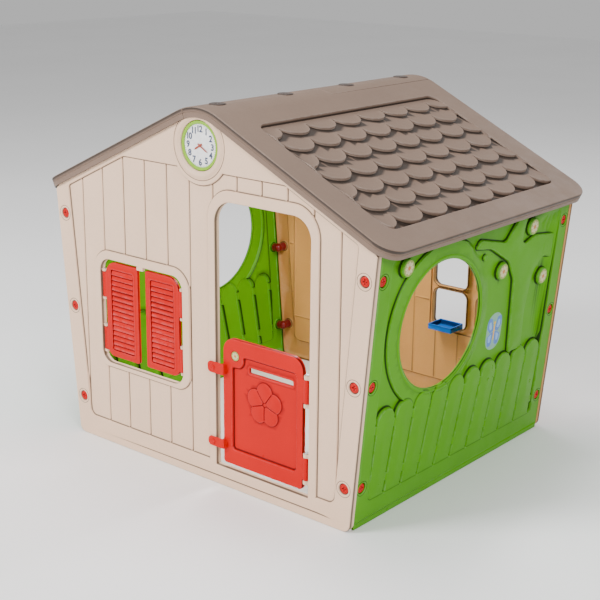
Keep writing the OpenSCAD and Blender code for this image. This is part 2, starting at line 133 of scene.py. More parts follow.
def inset(shape, d):
    """The same corners with every edge moved inwards by d."""
    out = []
    for i in range(len(shape)):
        a, b, c = corners(shape, i)
        n = unit(np.array([a[1] - b[1], b[0] - a[0]]))
        m = unit(np.array([b[1] - c[1], c[0] - b[0]]))
        p = b + d * (n + m) / (1 + n @ m)
        radius = shape[i][2]
        if radius >= 0.1:
            radius = max(radius - d * math.copysign(1, turn_of(a, b, c)), 0.5)
        out.append((p[0], p[1], radius))
    return out


def box_shape(x0, z0, x1, z1, r):
    return [(x0, z0, r), (x1, z0, r), (x1, z1, r), (x0, z1, r)]


def round_shape(x, y, r, count=10):
    """A circle as a corner list, so that it can be inset like any shape."""
    reach = r / math.cos(math.pi / count)
    ways = [2 * math.pi * k / count for k in range(count)]
    return [(x + reach * math.cos(t), y + reach * math.sin(t), r * 0.9) for t in ways]


class Zone:
    """A closed shape with its distance field (negative inside) and its offset outlines."""

    def __init__(self, shape=None, disc=None, oval=None, points=None):
        self.shape, self.disc, self.oval, self.points = shape, disc, oval, points

    def ring(self, d=0.0):
        """The outline moved outwards by d."""
        if self.shape is not None:
            return rounded(inset(self.shape, -d))
        if self.disc is not None:
            x, y, r = self.disc
            t = np.linspace(0, 2 * math.pi, max(16, int(12 + r * 0.6)), endpoint=False)
            return np.c_[x + (r + d) * np.cos(t), y + (r + d) * np.sin(t)]
        if self.oval is not None:
            x, y, a, b, tilt = self.oval
            t = np.linspace(0, 2 * math.pi, 84, endpoint=False)
            p, q = (a + d) * np.cos(t), (b + d) * np.sin(t)
            c, s = math.cos(tilt), math.sin(tilt)
            return np.c_[x + p * c - q * s, y + p * s + q * c]
        return self.points

    def rings(self, steps, side=1):
        """The outlines moved outwards by each of the steps, or inwards with side -1."""
        return [self.ring(side * d) for d in steps]

    def far(self, p, reach=60.0):
        """Signed distance of the points p. Past reach it is only the distance to the shape's box."""
        if self.disc is not None:
            x, y, r = self.disc
            return np.hypot(p[:, 0] - x, p[:, 1] - y) - r
        loop = self.ring(0.0)
        low, high = loop.min(0), loop.max(0)
        out = np.linalg.norm(np.maximum(np.maximum(low - p, p - high), 0), axis=1)
        near = out < reach
        q = p[near]
        best = np.full(len(q), 1e18)
        inside = np.zeros(len(q), bool)
        for a, b in zip(loop, np.roll(loop, -1, 0)):
            e = b - a
            size = e @ e
            if size < 1e-12:
                continue
            t = np.clip(((q - a) @ e) / size, 0, 1)
            gap = q - a - t[:, None] * e
            best = np.minimum(best, (gap * gap).sum(1))
            if a[1] != b[1]:
                crosses = (a[1] > q[:, 1]) != (b[1] > q[:, 1])
                inside ^= crosses & (q[:, 0] < a[0] + (q[:, 1] - a[1]) / e[1] * e[0])
        out[near] = np.where(inside, -1, 1) * np.sqrt(best)
        return out


def soft(d, width):
    """1 inside a zone, 0 outside, with an eased step of that width centred on its edge."""
    t = np.clip(0.5 - d / width, 0, 1)
    return t * t * (3 - 2 * t)


def groove(d, width):
    """1 at the middle of a line of that width and 0 past its sides, from the distance to it."""
    t = np.clip(1 - np.abs(d) / (width / 2), 0, 1)
    return t * t * (3 - 2 * t)


def mix(h, level, amount):
    return h + (level - h) * amount


def rim(d, radius):
    """How far a rounded edge has dropped at distance d inside a border."""
    t = np.clip(1 - d / radius, 0, 1)
    return radius * (1 - np.sqrt(np.maximum(1 - t * t, 0)))


def away(p, x, y):
    """Distance of the points p from one spot."""
    return np.hypot(p[:, 0] - x, p[:, 1] - y)


EASE = (-0.8, -0.5, -0.25, 0.0, 0.25, 0.5, 0.8)
RIM_STEPS = (0.3, 0.9, 1.9, 3.2)
WALL_STEPS = (*RIM_STEPS, 4.3, 5.8)


def step_rings(zone, width, extra=()):
    """Guide lines that follow an eased step round a zone."""
    return zone.rings([k * width for k in EASE]) + zone.rings(extra)


def line_guides(a, b, width):
    """Guide lines along a groove from a to b."""
    a, b = np.array(a, float), np.array(b, float)
    side = unit(np.array([a[1] - b[1], b[0] - a[0]]))
    return [np.array([a + side * k * width, b + side * k * width]) for k in EASE]


# ---- parts of a mesh
class Part:
    """Vertices, faces, a normal for every face corner, a bend value per vertex for edge wear and painted
    corner shade, and a material number.
    """

    def __init__(self, verts, faces, normals, wear_and_shade=None, slot=0):
        self.verts = np.asarray(verts, float)
        self.faces = [tuple(f) for f in faces]
        self.normals = np.asarray(normals, float)
        self.wear_and_shade = np.full(len(self.verts), 0.5) if wear_and_shade is None else wear_and_shade
        self.slot = slot

    def placed(self, turn, shift=(0, 0, 0)):
        """The part turned by a 3 x 3 matrix and then moved."""
        turn = np.asarray(turn, float)
        return Part(self.verts @ turn.T + shift, self.faces, self.normals @ turn.T, self.wear_and_shade, self.slot)

    def moved(self, *shift):
        return self.placed(np.eye(3), shift)

    def mirrored(self, x):
        """The part seen in a mirror across the plane at x."""
        flip = np.array([-1.0, 1.0, 1.0])
        normals, start = [], 0
        for f in self.faces:
            normals.append(self.normals[start:start + len(f)][::-1])
            start += len(f)
        return Part(self.verts * flip + (2 * x, 0, 0), [f[::-1] for f in self.faces],
                    np.vstack(normals) * flip, self.wear_and_shade, self.slot)


def crisp(verts, faces, limit=35.0, slot=0):
    """A part whose edges sharper than the limit stay sharp, with area-weighted corner normals."""
    verts = np.asarray(verts, float)
    flat = []
    for f in faces:
        p = verts[list(f)]
        n = np.zeros(3)
        for k in range(1, len(f) - 1):
            n += np.cross(p[k] - p[0], p[k + 1] - p[0])
        flat.append(n)
    flat = np.array(flat)
    size = np.linalg.norm(flat, axis=1)
    units = flat / np.maximum(size, 1e-12)[:, None]
    around = {}
    for i, f in enumerate(faces):
        for v in f:
            around.setdefault(v, []).append(i)
    near = math.cos(math.radians(limit))
    normals = []
    for i, f in enumerate(faces):
        for v in f:
            ids = around[v]
            ids = [k for k in ids if units[k] @ units[i] > near] or [i]
            n = flat[ids].sum(0)
            normals.append(n / max(np.linalg.norm(n), 1e-12))
    # Convex edges read as worn, from how far the faces at a vertex part from each other
    wear_and_shade = np.full(len(verts), 0.5)
    for v, ids in around.items():
        spread = 1 - np.linalg.norm(units[ids].mean(0))
        wear_and_shade[v] = 0.5 + min(spread * 1.6, 0.3)
    return Part(verts, faces, normals, wear_and_shade, slot)


def lathe(profile, segments=36, limit=35.0, closed=False, slot=0):
    """A turned part about the third axis; the profile's points are (radius, height), going up outside."""
    verts, faces, rings = [], [], []
    for r, z in profile:
        # A point on the axis is a single vertex
        count = segments if r else 1
        rings.append(range(len(verts), len(verts) + count))
        ways = [2 * math.pi * k / segments for k in range(count)]
        verts += [(r * math.cos(t), r * math.sin(t), z) for t in ways]
    for low, high in list(zip(rings, rings[1:])) + ([(rings[-1], rings[0])] if closed else []):
        a, b = len(low), len(high)
        for k in range(segments):
            n = (k + 1) % segments
            face = dict.fromkeys((low[k % a], low[n % a], high[n % b], high[k % b]))
            if len(face) > 2:
                faces.append(tuple(face))
    return crisp(verts, faces, limit, slot)


def prism(shape, low, high, r=1.0, steps=3, slot=0):
    """A plate with rounded edges: a corner list drawn out from height low to high."""
    ways = [math.pi / 2 * k / steps for k in range(steps + 1)]
    levels = [(r * (1 - math.sin(t)), low + r * (1 - math.cos(t))) for t in ways]
    levels += [(d, low + high - z) for d, z in levels[::-1]]
    verts = [(x, y, z) for d, z in levels for x, y in rounded(inset(shape, d))]
    count = len(verts) // len(levels)
    faces = []
    for a in range(0, count * (len(levels) - 1), count):
        for k in range(count):
            n = (k + 1) % count
            faces.append((a + k, a + n, a + count + n, a + count + k))
    faces.append(tuple(range(count))[::-1])
    faces.append(tuple(range(len(verts) - count, len(verts))))
    return crisp(verts, faces, slot=slot)


def tube(bore, radius, low, high):
    """A hinge barrel with rounded rims."""
    half = [(bore, 0.4), (bore + 0.4, 0), (radius - 1.2, 0), (radius - 0.35, 0.35), (radius, 1.2)]
    profile = [(r, low + z) for r, z in half] + [(r, high - z) for r, z in half[::-1]]
    return lathe(profile, 32, 40.0, True)


def add_object(name, data):
    obj = bpy.data.objects.new(name, data)
    bpy.context.scene.collection.objects.link(obj)
    return obj


def piece(name, parts, materials, body=HOUSE, nodes=()):
    """One object made of parts, which rides a body, has a finish slot and stands for CAD nodes."""
    faces, slots, start = [], [], 0
    for p in parts:
        faces.extend(tuple(int(v) + start for v in f) for f in p.faces)
        slots.extend([p.slot] * len(p.faces))
        start += len(p.verts)
    data = bpy.data.meshes.new(name)
    data.from_pydata((np.vstack([p.verts for p in parts]) * MM).tolist(), [], faces)
    for m in materials:
        data.materials.append(m)
    data.polygons.foreach_set("material_index", slots)
    data.update()
    layer = data.attributes.new("wear_and_shade", "FLOAT", "POINT")
    layer.data.foreach_set("value", np.concatenate([p.wear_and_shade for p in parts]).astype(np.float32))
    data.shade_smooth()
    data.normals_split_custom_set(np.vstack([p.normals for p in parts]).tolist())
    obj = add_object(name, data)
    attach(obj, body)
    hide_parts(*nodes)


def flat_place(u, v, w):
    return np.stack([u + 0 * w, v + 0 * w, w + 0 * u], -1)


class Sheet:
    """A moulded sheet: an outline with holes and a front and a back height field.

    Its mesh lines follow the guides, so that steps, grooves and rims are real geometry. The corner
    normals come from the height field itself, so flats stay flat however they are divided."""

    PROBE = 0.12
    BEND_REACH = 2.4

    def __init__(self, outline, holes, front, back, place=flat_place, bead=()):
        self.outline, self.holes = outline, holes
        self.front, self.back = front, back
        self.place, self.bead = place, bead

    def flat(self, guides, lines, spots):
        """The divided outline as points and triangles."""
        points, edges = [], []

        def add(loop, closed):
            start, count = len(points), len(loop)
            points.extend(Vector((float(x), float(y))) for x, y in loop)
            for i in range(count if closed else count - 1):
                edges.append((start + i, start + (i + 1) % count))

        for loop in [self.outline, *self.holes, *guides]:
            add(loop, True)
        for g in lines:
            add(g, False)
        points.extend(Vector((float(x), float(y))) for x, y in spots)
        verts, _, faces, *_ = delaunay_2d_cdt(points, edges, [], 0, 1e-4)
        xy = np.array([(v.x, v.y) for v in verts])
        tri = np.array([f for f in faces if len(f) == 3])
        middle = xy[tri].mean(1)
        inside = Zone(points=np.array(self.outline)).far(middle, FAR) < 0
        for h in self.holes:
            inside &= Zone(points=np.array(h)).far(middle) > 0
        tri = tri[inside]
        used = np.unique(tri)
        number = np.full(len(xy), -1)
        number[used] = np.arange(len(used))
        xy, tri = xy[used], number[tri]
        a, b, c = xy[tri[:, 0]], xy[tri[:, 1]], xy[tri[:, 2]]
        area = (b[:, 0] - a[:, 0]) * (c[:, 1] - a[:, 1]) - (b[:, 1] - a[:, 1]) * (c[:, 0] - a[:, 0])
        tri[area < 0] = tri[area < 0][:, ::-1]
        return xy, tri[np.abs(area) > 1e-9]

    def normals(self, height, xy, sign):
        """The surface's normals, from the height field around each point."""
        def at(*d):
            q = xy + d
            return self.place(q[:, 0], q[:, 1], height(q))

        e = self.PROBE
        n = np.cross(at(e, 0) - at(-e, 0), at(0, e) - at(0, -e)) * sign
        return n / np.maximum(np.linalg.norm(n, axis=1), 1e-12)[:, None]

    def bend(self, height, xy):
        """Over 0.5 on a convex edge and under it in a corner."""
        e = self.BEND_REACH
        around = sum(height(xy + d) for d in ((e, 0), (-e, 0), (0, e), (0, -e)))
        return np.clip(0.5 + (height(xy) - around / 4) / e * 0.9, 0, 1)

    def part(self, guides=(), lines=(), spots=(), slot=0):
        xy, tri = self.flat(guides, lines, spots)
        count = len(xy)
        low_h = self.back(xy)
        top = self.place(xy[:, 0], xy[:, 1], self.front(xy))
        low = self.place(xy[:, 0], xy[:, 1], low_h)
        top_n = self.normals(self.front, xy, 1)
        low_n = self.normals(self.back, xy, -1)
        once = {(f[i], f[(i + 1) % 3]) for f in tri.tolist() for i in range(3)}
        border = [p for p in once if (p[1], p[0]) not in once]
        border.sort()
        ids = sorted({i for p in border for i in p})
        place_of = {v: k for k, v in enumerate(ids)}
        out = np.zeros((len(ids), 2))
        for a, b in border:
            e = unit(xy[b] - xy[a])
            for v in (a, b):
                out[place_of[v]] += (e[1], -e[0])
        out /= np.maximum(np.linalg.norm(out, axis=1), 1e-9)[:, None]
        rings = []
        for depth, push in self.bead:
            full = -low_h[ids] > depth
            q = xy[ids] + out * (push * full)[:, None]
            rings.append(self.place(q[:, 0], q[:, 1], np.where(full, -depth, low_h[ids])))
        verts = np.vstack([top, low, *rings])
        # Bend at each vertex: convex edges get the worn pale scuffs and corners get the painted shade
        wear_and_shade = np.concatenate([self.bend(self.front, xy), self.bend(self.back, xy),
                               np.full(len(ids) * len(rings), 0.5)])
        faces = tri.tolist() + (tri[:, ::-1] + count).tolist()
        normals = [top_n[tri].reshape(-1, 3), low_n[tri[:, ::-1]].reshape(-1, 3)]
        quads, bands = [], []

        def column(v):
            """The vertices down the border at v."""
            return [v, *(2 * count + k * len(ids) + place_of[v] for k in range(len(rings))), v + count]

        for a, b in border:
            down_a, down_b = column(a), column(b)
            for k in range(len(down_a) - 1):
                quads.append((down_b[k], down_a[k], down_a[k + 1], down_b[k + 1]))
                bands.append(k)
        quads = np.array(quads)
        p = verts[quads]
        n = np.cross(p[:, 2] - p[:, 0], p[:, 3] - p[:, 1])
        size = np.linalg.norm(n, axis=1)
        good = size > 1e-5
        quads, n, bands = quads[good], n[good] / size[good][:, None], np.array(bands)[good]
        # Smooth the border along its run but keep each of its bands crisp
        near = {}
        for q, vec, band in zip(quads.tolist(), n, bands):
            for v in q:
                near.setdefault((v, band), []).append(vec)
        side = []
        for q, vec, band in zip(quads.tolist(), n, bands):
            for v in q:
                m = np.sum([w for w in near[(v, band)] if w @ vec > 0.8], 0)
                side.append(m / np.linalg.norm(m))
        faces += quads.tolist()
        normals.append(np.array(side))
        return Part(verts, faces, np.vstack(normals), wear_and_shade, slot)


FRONT = (np.array([[1, 0, 0], [0, 0, -1], [0, 1, 0]]), np.array([0, -FACE_Y, 0]))
BACK = (np.array([[-1, 0, 0], [0, 0, 1], [0, 1, 0]]), np.array([0, FACE_Y, 0]))
RIGHT = (np.array([[0, math.sin(LEAN), math.cos(LEAN)], [1, 0, 0], [0, math.cos(LEAN), -math.sin(LEAN)]]),
         np.array([BASE_HALF, 0, 0]))
HALF_TURN = np.diag([-1.0, -1.0, 1.0])
LEFT = (HALF_TURN @ RIGHT[0], HALF_TURN @ RIGHT[1])


def lattice(zone, low, high, pitch):
    """A loose lattice of points inside a zone, to keep triangles even."""
    u = np.arange(low[0] + pitch / 2, high[0], pitch)
    v = np.arange(low[1] + pitch / 2, high[1], pitch)
    p = np.array([(a + (0.5 * pitch if i % 2 else 0), b) for i, b in enumerate(v) for a in u])
    return p[zone.far(p, FAR) < -pitch * 0.4]


# ---- materials
def shade(colour, k):
    return tuple(min(c * k, 1.0) for c in colour) + (1.0,)


class Look:
    """A material's nodes. Every method takes sockets or fixed values and gives a socket."""

    def __init__(self, name):
        self.material = bpy.data.materials.new(name)
        self.material.use_nodes = True
        self.tree = self.material.node_tree

    def feed(self, socket, value):
        if isinstance(value, bpy.types.NodeSocket):
            self.tree.links.new(value, socket)
        elif value is not None:
            socket.default_value = value

    def add(self, kind, output, inputs):
        node = self.tree.nodes.new("ShaderNode" + kind)
        for key, value in inputs.items():
            self.feed(node.inputs[key], value)
        return node.outputs[output]

    def noise(self, scale, detail=4.0, rough=0.55, stretch=None):
        """A noise pattern fixed to the piece, perhaps drawn out along one axis."""
        source = self.add("TexCoord", "Object", {})
        if stretch:
            source = self.add("Mapping", "Vector", {"Scale": stretch, "Vector": source})
        return self.add("TexNoise", "Fac", {"Scale": scale, "Detail": detail, "Roughness": rough,
                                            "Vector": source})

    def ramp(self, source, low, low_colour, high, high_colour):
        out = self.add("ValToRGB", "Color", {"Fac": source})
        first, last = out.node.color_ramp.elements
        first.position, first.color = low, low_colour
        last.position, last.color = high, high_colour
        return out

    def remap(self, source, low, high, to_low, to_high):
        return self.add("MapRange", "Result", {"Value": source, "From Min": low, "From Max": high,
                                               "To Min": to_low, "To Max": to_high})

    def times(self, a, b):
        out = self.add("Math", 0, {0: a, 1: b})
        out.node.operation = "MULTIPLY"
        return out

    def blend(self, mode, factor, a, b):
        out = self.tree.nodes.new("ShaderNodeMix")
        out.data_type = "RGBA"
        out.blend_type = mode
        for key, kind, value in (("Factor", "VALUE", factor), ("A", "RGBA", a), ("B", "RGBA", b)):
            self.feed(next(s for s in out.inputs if s.name == key and s.type == kind), value)
        return next(s for s in out.outputs if s.type == "RGBA")

    def bump(self, height, strength, distance, under=None):
        return self.add("Bump", "Normal", {"Strength": strength, "Distance": distance, "Height": height,
                                           "Normal": under})

    def done(self, inputs):
        """Feed the shader and give the material."""
        shader = next(n for n in self.tree.nodes if n.type == "BSDF_PRINCIPLED")
        for key, value in inputs.items():
            self.feed(shader.inputs[key], value)
        return self.material


def moulded_plastic(name, colour, rough, vary=0.04, grain=0.10, coat=0.0, painted_shade=0.9, scuffs=0.2, gloss=0.35):
    """Moulded plastic: cloudy colour, fine grain, pale scuffed edges, and painted shade in its corners and
    creases.
    """
    look = Look(name)
    body = look.ramp(look.noise(5.5, 5.0), 0.3, shade(colour, 1 - vary), 0.7, shade(colour, 1 + vary))
    speck = look.ramp(look.noise(260.0, 3.0, 0.6), 0.30, shade(WHITE, 0.84), 0.62, shade(WHITE, 1.0))
    body = look.blend("MULTIPLY", 0.35, body, speck)
    # Bend per vertex: over 0.5 on convex edges, which wear paler, and under it in corners, which get painted
    # shade
    bent = look.add("Attribute", "Fac", {})
    bent.node.attribute_name = "wear_and_shade"
    scuff = look.remap(look.noise(42.0, 6.0, 0.7), 0.40, 0.66, 0.15, 1.0)
    worn = look.times(look.remap(bent, 0.56, 0.95, 0.0, scuffs), scuff)
    body = look.blend("MIX", worn, body, tuple(c * 0.62 + 0.34 for c in colour) + (1.0,))
    # Painted shade: corners, creases and grooves, where the bend is under 0.5, are mixed towards a dark copy
    # of the colour
    body = look.blend("MIX", look.remap(bent, 0.485, 0.30, 0.0, painted_shade), body, shade(colour, PAINTED_SHADE_TONE))
    swell = look.bump(look.noise(6.0, 1.0, 0.4), 0.12, 0.006)
    return look.done({
        "Base Color": body,
        "Roughness": look.remap(look.noise(16.0, 5.0, 0.65), 0.3, 0.7, rough - 0.07, rough + 0.09),
        "Normal": look.bump(look.noise(620.0, 2.0, 0.5), grain, 0.0012, swell),
        "Specular IOR Level": gloss, "Coat Weight": coat, "Coat Roughness": 0.20})


def printed(name, colour):
    """Printed vinyl: flat ink with faint dust and a light emboss."""
    look = Look(name)
    dust = look.noise(90.0, 4.0, 0.6)
    return look.done({
        "Base Color": look.ramp(dust, 0.3, shade(colour, 0.90), 0.65, shade(colour, 1.04)),
        "Roughness": look.remap(look.noise(30.0), 0.3, 0.7, INK_ROUGH - 0.06, INK_ROUGH + 0.1),
        "Normal": look.bump(look.noise(900.0, 2.0), 0.06, 0.0006)})


def drawn_steel(name):
    """Drawn steel wire: streaks along its length."""
    look = Look(name)
    streak = look.noise(240.0, 4.0, 0.6, (1.0, 1.0, 0.04))
    return look.done({
        "Base Color": look.ramp(streak, 0.3, (0.42, 0.42, 0.43, 1), 0.7, (0.68, 0.68, 0.70, 1)),
        "Metallic": 1.0, "Roughness": look.remap(streak, 0.3, 0.7, 0.24, 0.42),
        "Normal": look.bump(streak, 0.15, 0.0004)})


WHITE = (1.0, 1.0, 1.0)
# How dark the painted shade in corners and creases is, as a share of the colour
PAINTED_SHADE_TONE = 0.13
INK_ROUGH = 0.34
BEIGE = moulded_plastic("beige_plastic", (0.820, 0.570, 0.400), 0.50, 0.03, gloss=0.2)
TAN = moulded_plastic("tan_plastic", (0.560, 0.270, 0.070), 0.52, 0.05)
GREEN = moulded_plastic("green_plastic", (0.084, 0.315, 0.0001), 0.34, 0.05, 0.06, 0.02, 1.0, gloss=0.12)
TAUPE = moulded_plastic("taupe_plastic", (0.195, 0.128, 0.093), 0.50, 0.05, 0.16)
RED = moulded_plastic("red_plastic", (0.560, 0.0015, 0.001), 0.34, 0.05, 0.06, 0.02, gloss=0.12)
DARK_RED = moulded_plastic("dark_red_plastic", (0.160, 0.002, 0.003), 0.33, 0.06, 0.08)
BLUE = moulded_plastic("blue_plastic", (0.002, 0.120, 0.500), 0.34, 0.06, 0.08, gloss=0.12)
CAP_BROWN = moulded_plastic("cap_brown_plastic", (0.070, 0.050, 0.042), 0.50, 0.10, 0.16)
STEEL = drawn_steel("pin_steel")
INKS = {name: printed(f"ink_{name}", colour) for name, colour in (
    ("white", (0.86, 0.86, 0.85)), ("cream", (0.300, 0.360, 0.060)), ("petal", (0.620, 0.560, 0.300)),
    ("pale", (0.200, 0.420, 0.300)), ("green", (0.230, 0.460, 0.006)), ("navy", (0.050, 0.065, 0.120)),
    ("rust", (0.330, 0.060, 0.030)), ("yellow", (0.880, 0.500, 0.020)), ("blue", (0.060, 0.190, 0.560)),
    ("sky", (0.220, 0.450, 0.760)), ("orange", (0.520, 0.160, 0.010)))}


def inks(*names):
    return [INKS[n] for n in names]


def flat_at(h):
    """A flat height field."""
    return lambda p: np.full(len(p), h)


# ---- gable walls
CAP_Z = (750.0, 442.0, 131.0)
CAP_IN = 33.5
CAP_Y = 491.0
CAP_RECESS_R = 17.3
PANEL_EDGE = 63.0
PANEL_DEPTH = 6.0
PLANK = 95.3
WALL_GAP = 1.1
CLOCK = (0.0, 1042.0)
CLOCK_BOSS_R = 115.0
CLOCK_R = 73.0
CLOCK_SEAT = 10.0
WINDOW_X = -264.0
WINDOW_HALF = 184.0

GABLE = [
    (-BASE_HALF, 0, 25), (BASE_HALF, 0, 25),
    (outer(SHOULDER_Z), SHOULDER_Z, 0), (600, roof_z(600, SKIN) - WALL_GAP, 0),
    (0, roof_z(0, SKIN) - WALL_GAP, RIDGE_R - SKIN - WALL_GAP),
    (-600, roof_z(600, SKIN) - WALL_GAP, 0), (-outer(SHOULDER_Z), SHOULDER_Z, 0)]
PANEL = [
    (-outer(73) + PANEL_EDGE, 73, 25), (outer(73) - PANEL_EDGE, 73, 25),
    (outer(846) - PANEL_EDGE, 846, 12), (325, 972, 20), (-325, 972, 20),
    (-outer(846) + PANEL_EDGE, 846, 12)]
DOORWAY = [(58.5, 62, 3), (423, 62, 3), (423, 892, 65), (58.5, 892, 65)]
DOOR_SURROUND = [(30.5, 30, 3), (452, 30, 3), (452, 926, 90), (30.5, 926, 90)]
WINDOW = box_shape(WINDOW_X - WINDOW_HALF, 282, WINDOW_X + WINDOW_HALF, 630, 42)
WINDOW_SURROUND = [(WINDOW_X - 214, 268, 56), (WINDOW_X + 214, 268, 56),
                   (WINDOW_X + 214, 657, 70), (WINDOW_X - 214, 657, 70)]
PANES = []
for x0, x1, outside_left in ((-452, -315, True), (-273, -136, False)):
    PANES.append(box_shape(x0, 280, x1, 416, 24))
    PANES.append([(x0, 429, 24), (x1, 429, 24), (x1, 580, 24 if outside_left else 75),
                  (x0, 580, 75 if outside_left else 24)])
PANE_SURROUND = [(-474, 258, 20), (-114, 258, 20), (-114, 602, 95), (-474, 602, 95)]

STEP_W = 4.4
GROOVE_W = 9.5
GROOVE_DEPTH = 5.5
RIM_R = 3.0
BASE_LINE = 26.0
SIDE_LINE = 19.0
CAP_FLOOR = -8.0
CAP_BACK = -13.0
CAP_BACK_R = 20.0
LINE_DEPTH = 5.0
LINE_W = 9.0
CLOCK_RINGS = (30, 60, 71, 73, 74, 75, 76, 78, 81, 84, 87, 90, 93, 96, 98.5, 100, 101.5, 103, 104.5)
GABLE_CAPS = [(s * (outer(z) - CAP_IN), z) for z in CAP_Z for s in (-1, 1)]
SIDE_CAPS = [(s * CAP_Y, z / math.cos(LEAN) - CAP_IN * math.sin(LEAN)) for z in CAP_Z for s in (-1, 1)]


def cap_fronts(h, p, spots, ring_r, ring_w):
    """A recess for every cap screw, with a fine ring round it."""
    for x, z in spots:
        r = away(p, x, z)
        h = mix(h, CAP_FLOOR, soft(r - CAP_RECESS_R, 3.0))
        h -= 1.2 * groove(r - ring_r, ring_w)
    return h


def cap_backs(h, p, spots):
    for x, z in spots:
        h = mix(h, CAP_BACK, soft(away(p, x, z) - CAP_BACK_R, 3.0))
    return h


def cap_guides(spots, ring_steps):
    """Guide lines for the recesses and the rings round them."""
    steps = (-8, -1.5, -0.7, 0, 0.7, 1.5, *ring_steps)
    return [ring for spot in spots for ring in Zone(disc=(*spot, CAP_RECESS_R)).rings(steps)]


class GableWall:
    """The height fields and guides of the front or the back wall."""

    def __init__(self, is_front):
        self.is_front = is_front
        self.border = Zone(GABLE)
        self.panel = Zone(PANEL)
        if is_front:
            self.holes = [Zone(DOORWAY), Zone(WINDOW)]
            self.raised = [Zone(DOOR_SURROUND), Zone(WINDOW_SURROUND), Zone(disc=(*CLOCK, CLOCK_BOSS_R))]
        else:
            self.holes = [Zone(p) for p in PANES]
            self.raised = [Zone(PANE_SURROUND)]
        self.planks = [s * (i + 0.5) * PLANK for i in range(6) for s in (-1, 1)]
        # The back wall's planks have short butt joints in a loose running pattern
        self.butts = []
        for i in range(-6, 6) if not is_front else ():
            for k in (0, 1, 2):
                self.butts.append(((i + 0.5) * PLANK, 170 + 290 * k + 97 * ((i * 5 + k * 3) % 4)))

    def sunk(self, p):
        d = self.panel.far(p, FAR)
        for z in self.raised:
            d = np.maximum(d, -z.far(p))
        return d

    def edge(self, p):
        return np.minimum(-self.border.far(p, FAR), np.minimum.reduce([h.far(p) for h in self.holes]))

    def joints(self, p, width):
        cut = np.zeros(len(p))
        for x in self.planks:
            cut = np.maximum(cut, groove(p[:, 0] - x, width))
        for x, z in self.butts:
            along = soft(np.abs(p[:, 0] - x - PLANK / 2) - PLANK / 2, 4.0)
            cut = np.maximum(cut, 0.8 * groove(p[:, 1] - z, width - 2) * along)
        return cut

    def front(self, p):
        sunk = self.sunk(p)
        h = -PANEL_DEPTH * soft(sunk, STEP_W)
        h -= GROOVE_DEPTH * self.joints(p, GROOVE_W) * soft(sunk + 1.0, 3.0)
        h -= LINE_DEPTH * groove(p[:, 1] - BASE_LINE, LINE_W) * soft(np.abs(p[:, 0]) - 515, 8.0)
        h = cap_fronts(h, p, GABLE_CAPS, 24.5, 5.0)
        if self.is_front:
            r = away(p, *CLOCK)
            h += 5.0 * groove(r - 87, 25.0)
            h = mix(h, -CLOCK_SEAT, soft(r - (CLOCK_R + 1.5), 3.0))
            h -= 1.6 * groove(r - 101.5, 6.0)
        return h - rim(self.edge(p), RIM_R)

    def back(self, p):
        sunk = self.sunk(p)
        skin = -SKIN - PANEL_DEPTH * soft(sunk - 4, STEP_W)
        skin -= 2.4 * self.joints(p, GROOVE_W + 5) * soft(sunk + 3.0, 4.0)
        skin = cap_backs(skin, p, GABLE_CAPS)
        if self.is_front:
            skin = mix(skin, -CLOCK_SEAT - SKIN, soft(away(p, *CLOCK) - CLOCK_R - 7, 4.0))
        edge = self.edge(p)
        return mix(skin, -PAN + rim(edge, 1.2), soft(edge - SKIN, 1.6))

    def part(self):
        guides = self.border.rings(WALL_STEPS, -1)
        for h in self.holes:
            guides += h.rings(WALL_STEPS)
        for z in [self.panel, *self.raised]:
            guides += step_rings(z, STEP_W, (-6, 6))
        guides += cap_guides(GABLE_CAPS, (4.7, 6, 7.2, 8.4, 9.7))
        lines = []
        for x in self.planks:
            lines += line_guides((x, 70), (x, 985), GROOVE_W)
        for x, z in self.butts:
            lines += line_guides((x, z), (x + PLANK, z), GROOVE_W - 2)
        lines += line_guides((-519, BASE_LINE), (519, BASE_LINE), LINE_W)
        if self.is_front:
            guides += [Zone(disc=(*CLOCK, r)).ring() for r in CLOCK_RINGS]
        holes = [h.ring() for h in self.holes]
        sheet = Sheet(rounded(GABLE, 6.0), holes, self.front, self.back)
        return sheet.part(guides, lines, lattice(self.border, (-650, 0), (650, 1150), 45.0))


# Barrel radius, pin radius and the barrels' heights
DOOR_HINGE = (10.0, 4.0, ((110, 180), (348, 420)))
SHUTTER_HINGE = (8.0, 3.0, ((322, 398), (500, 583)))
PIN_FIT = 0.3


def hinge_lugs(x, y, radius, pin_r, spans, lug, arm, side):
    """The wall's lugs above and below each hinge barrel; each is a ring on a short arm."""
    parts = []
    turn = np.diag([side, side, 1.0])
    for low, high in spans:
        for z in (low - 1 - lug, high + 1):
            ring = tube(pin_r + PIN_FIT, radius, z, z + lug)
            web = prism(box_shape(pin_r + 1.6, -radius * 0.66, arm, radius * 0.66, 1.2), z, z + lug, 1.0)
            parts += [p.placed(turn, (x, y, 0)) for p in (ring, web)]
    return parts


def barrels(x, y, radius, pin_r, spans, web, edge):
    """A leaf's hinge barrels, each with the web that joins it to the leaf."""
    parts = []
    for low, high in spans:
        made = (tube(pin_r + PIN_FIT, radius, low, high),
                prism(box_shape(*web, edge), low + 0.5, high - 0.5, edge))
        parts += [p.moved(x, y, 0) for p in made]
    return parts


def build_gables():
    parts = [GableWall(True).part().placed(*FRONT)]
    parts += hinge_lugs(HINGE_X, HINGE_Y, *DOOR_HINGE, 12, 20, 1)
    for side in (-1, 1):
        x = WINDOW_X + side * (SHUTTER_HINGE_X - WINDOW_X)
        parts += hinge_lugs(x, SHUTTER_HINGE_Y, *SHUTTER_HINGE, 8, 12, side)
    # The tab over the window that the shutters close against
    tab = prism(box_shape(WINDOW_X - 14, 618, WINDOW_X + 14, 633, 3), -12, -0.5, 1.5)
    parts.append(tab.placed(*FRONT))
    piece("front_wall_shell", parts, [BEIGE], nodes=["front_wall"])
    back = GableWall(False).part().placed(*BACK)
    piece("back_wall_shell", [back], [TAN], nodes=["back_wall"])


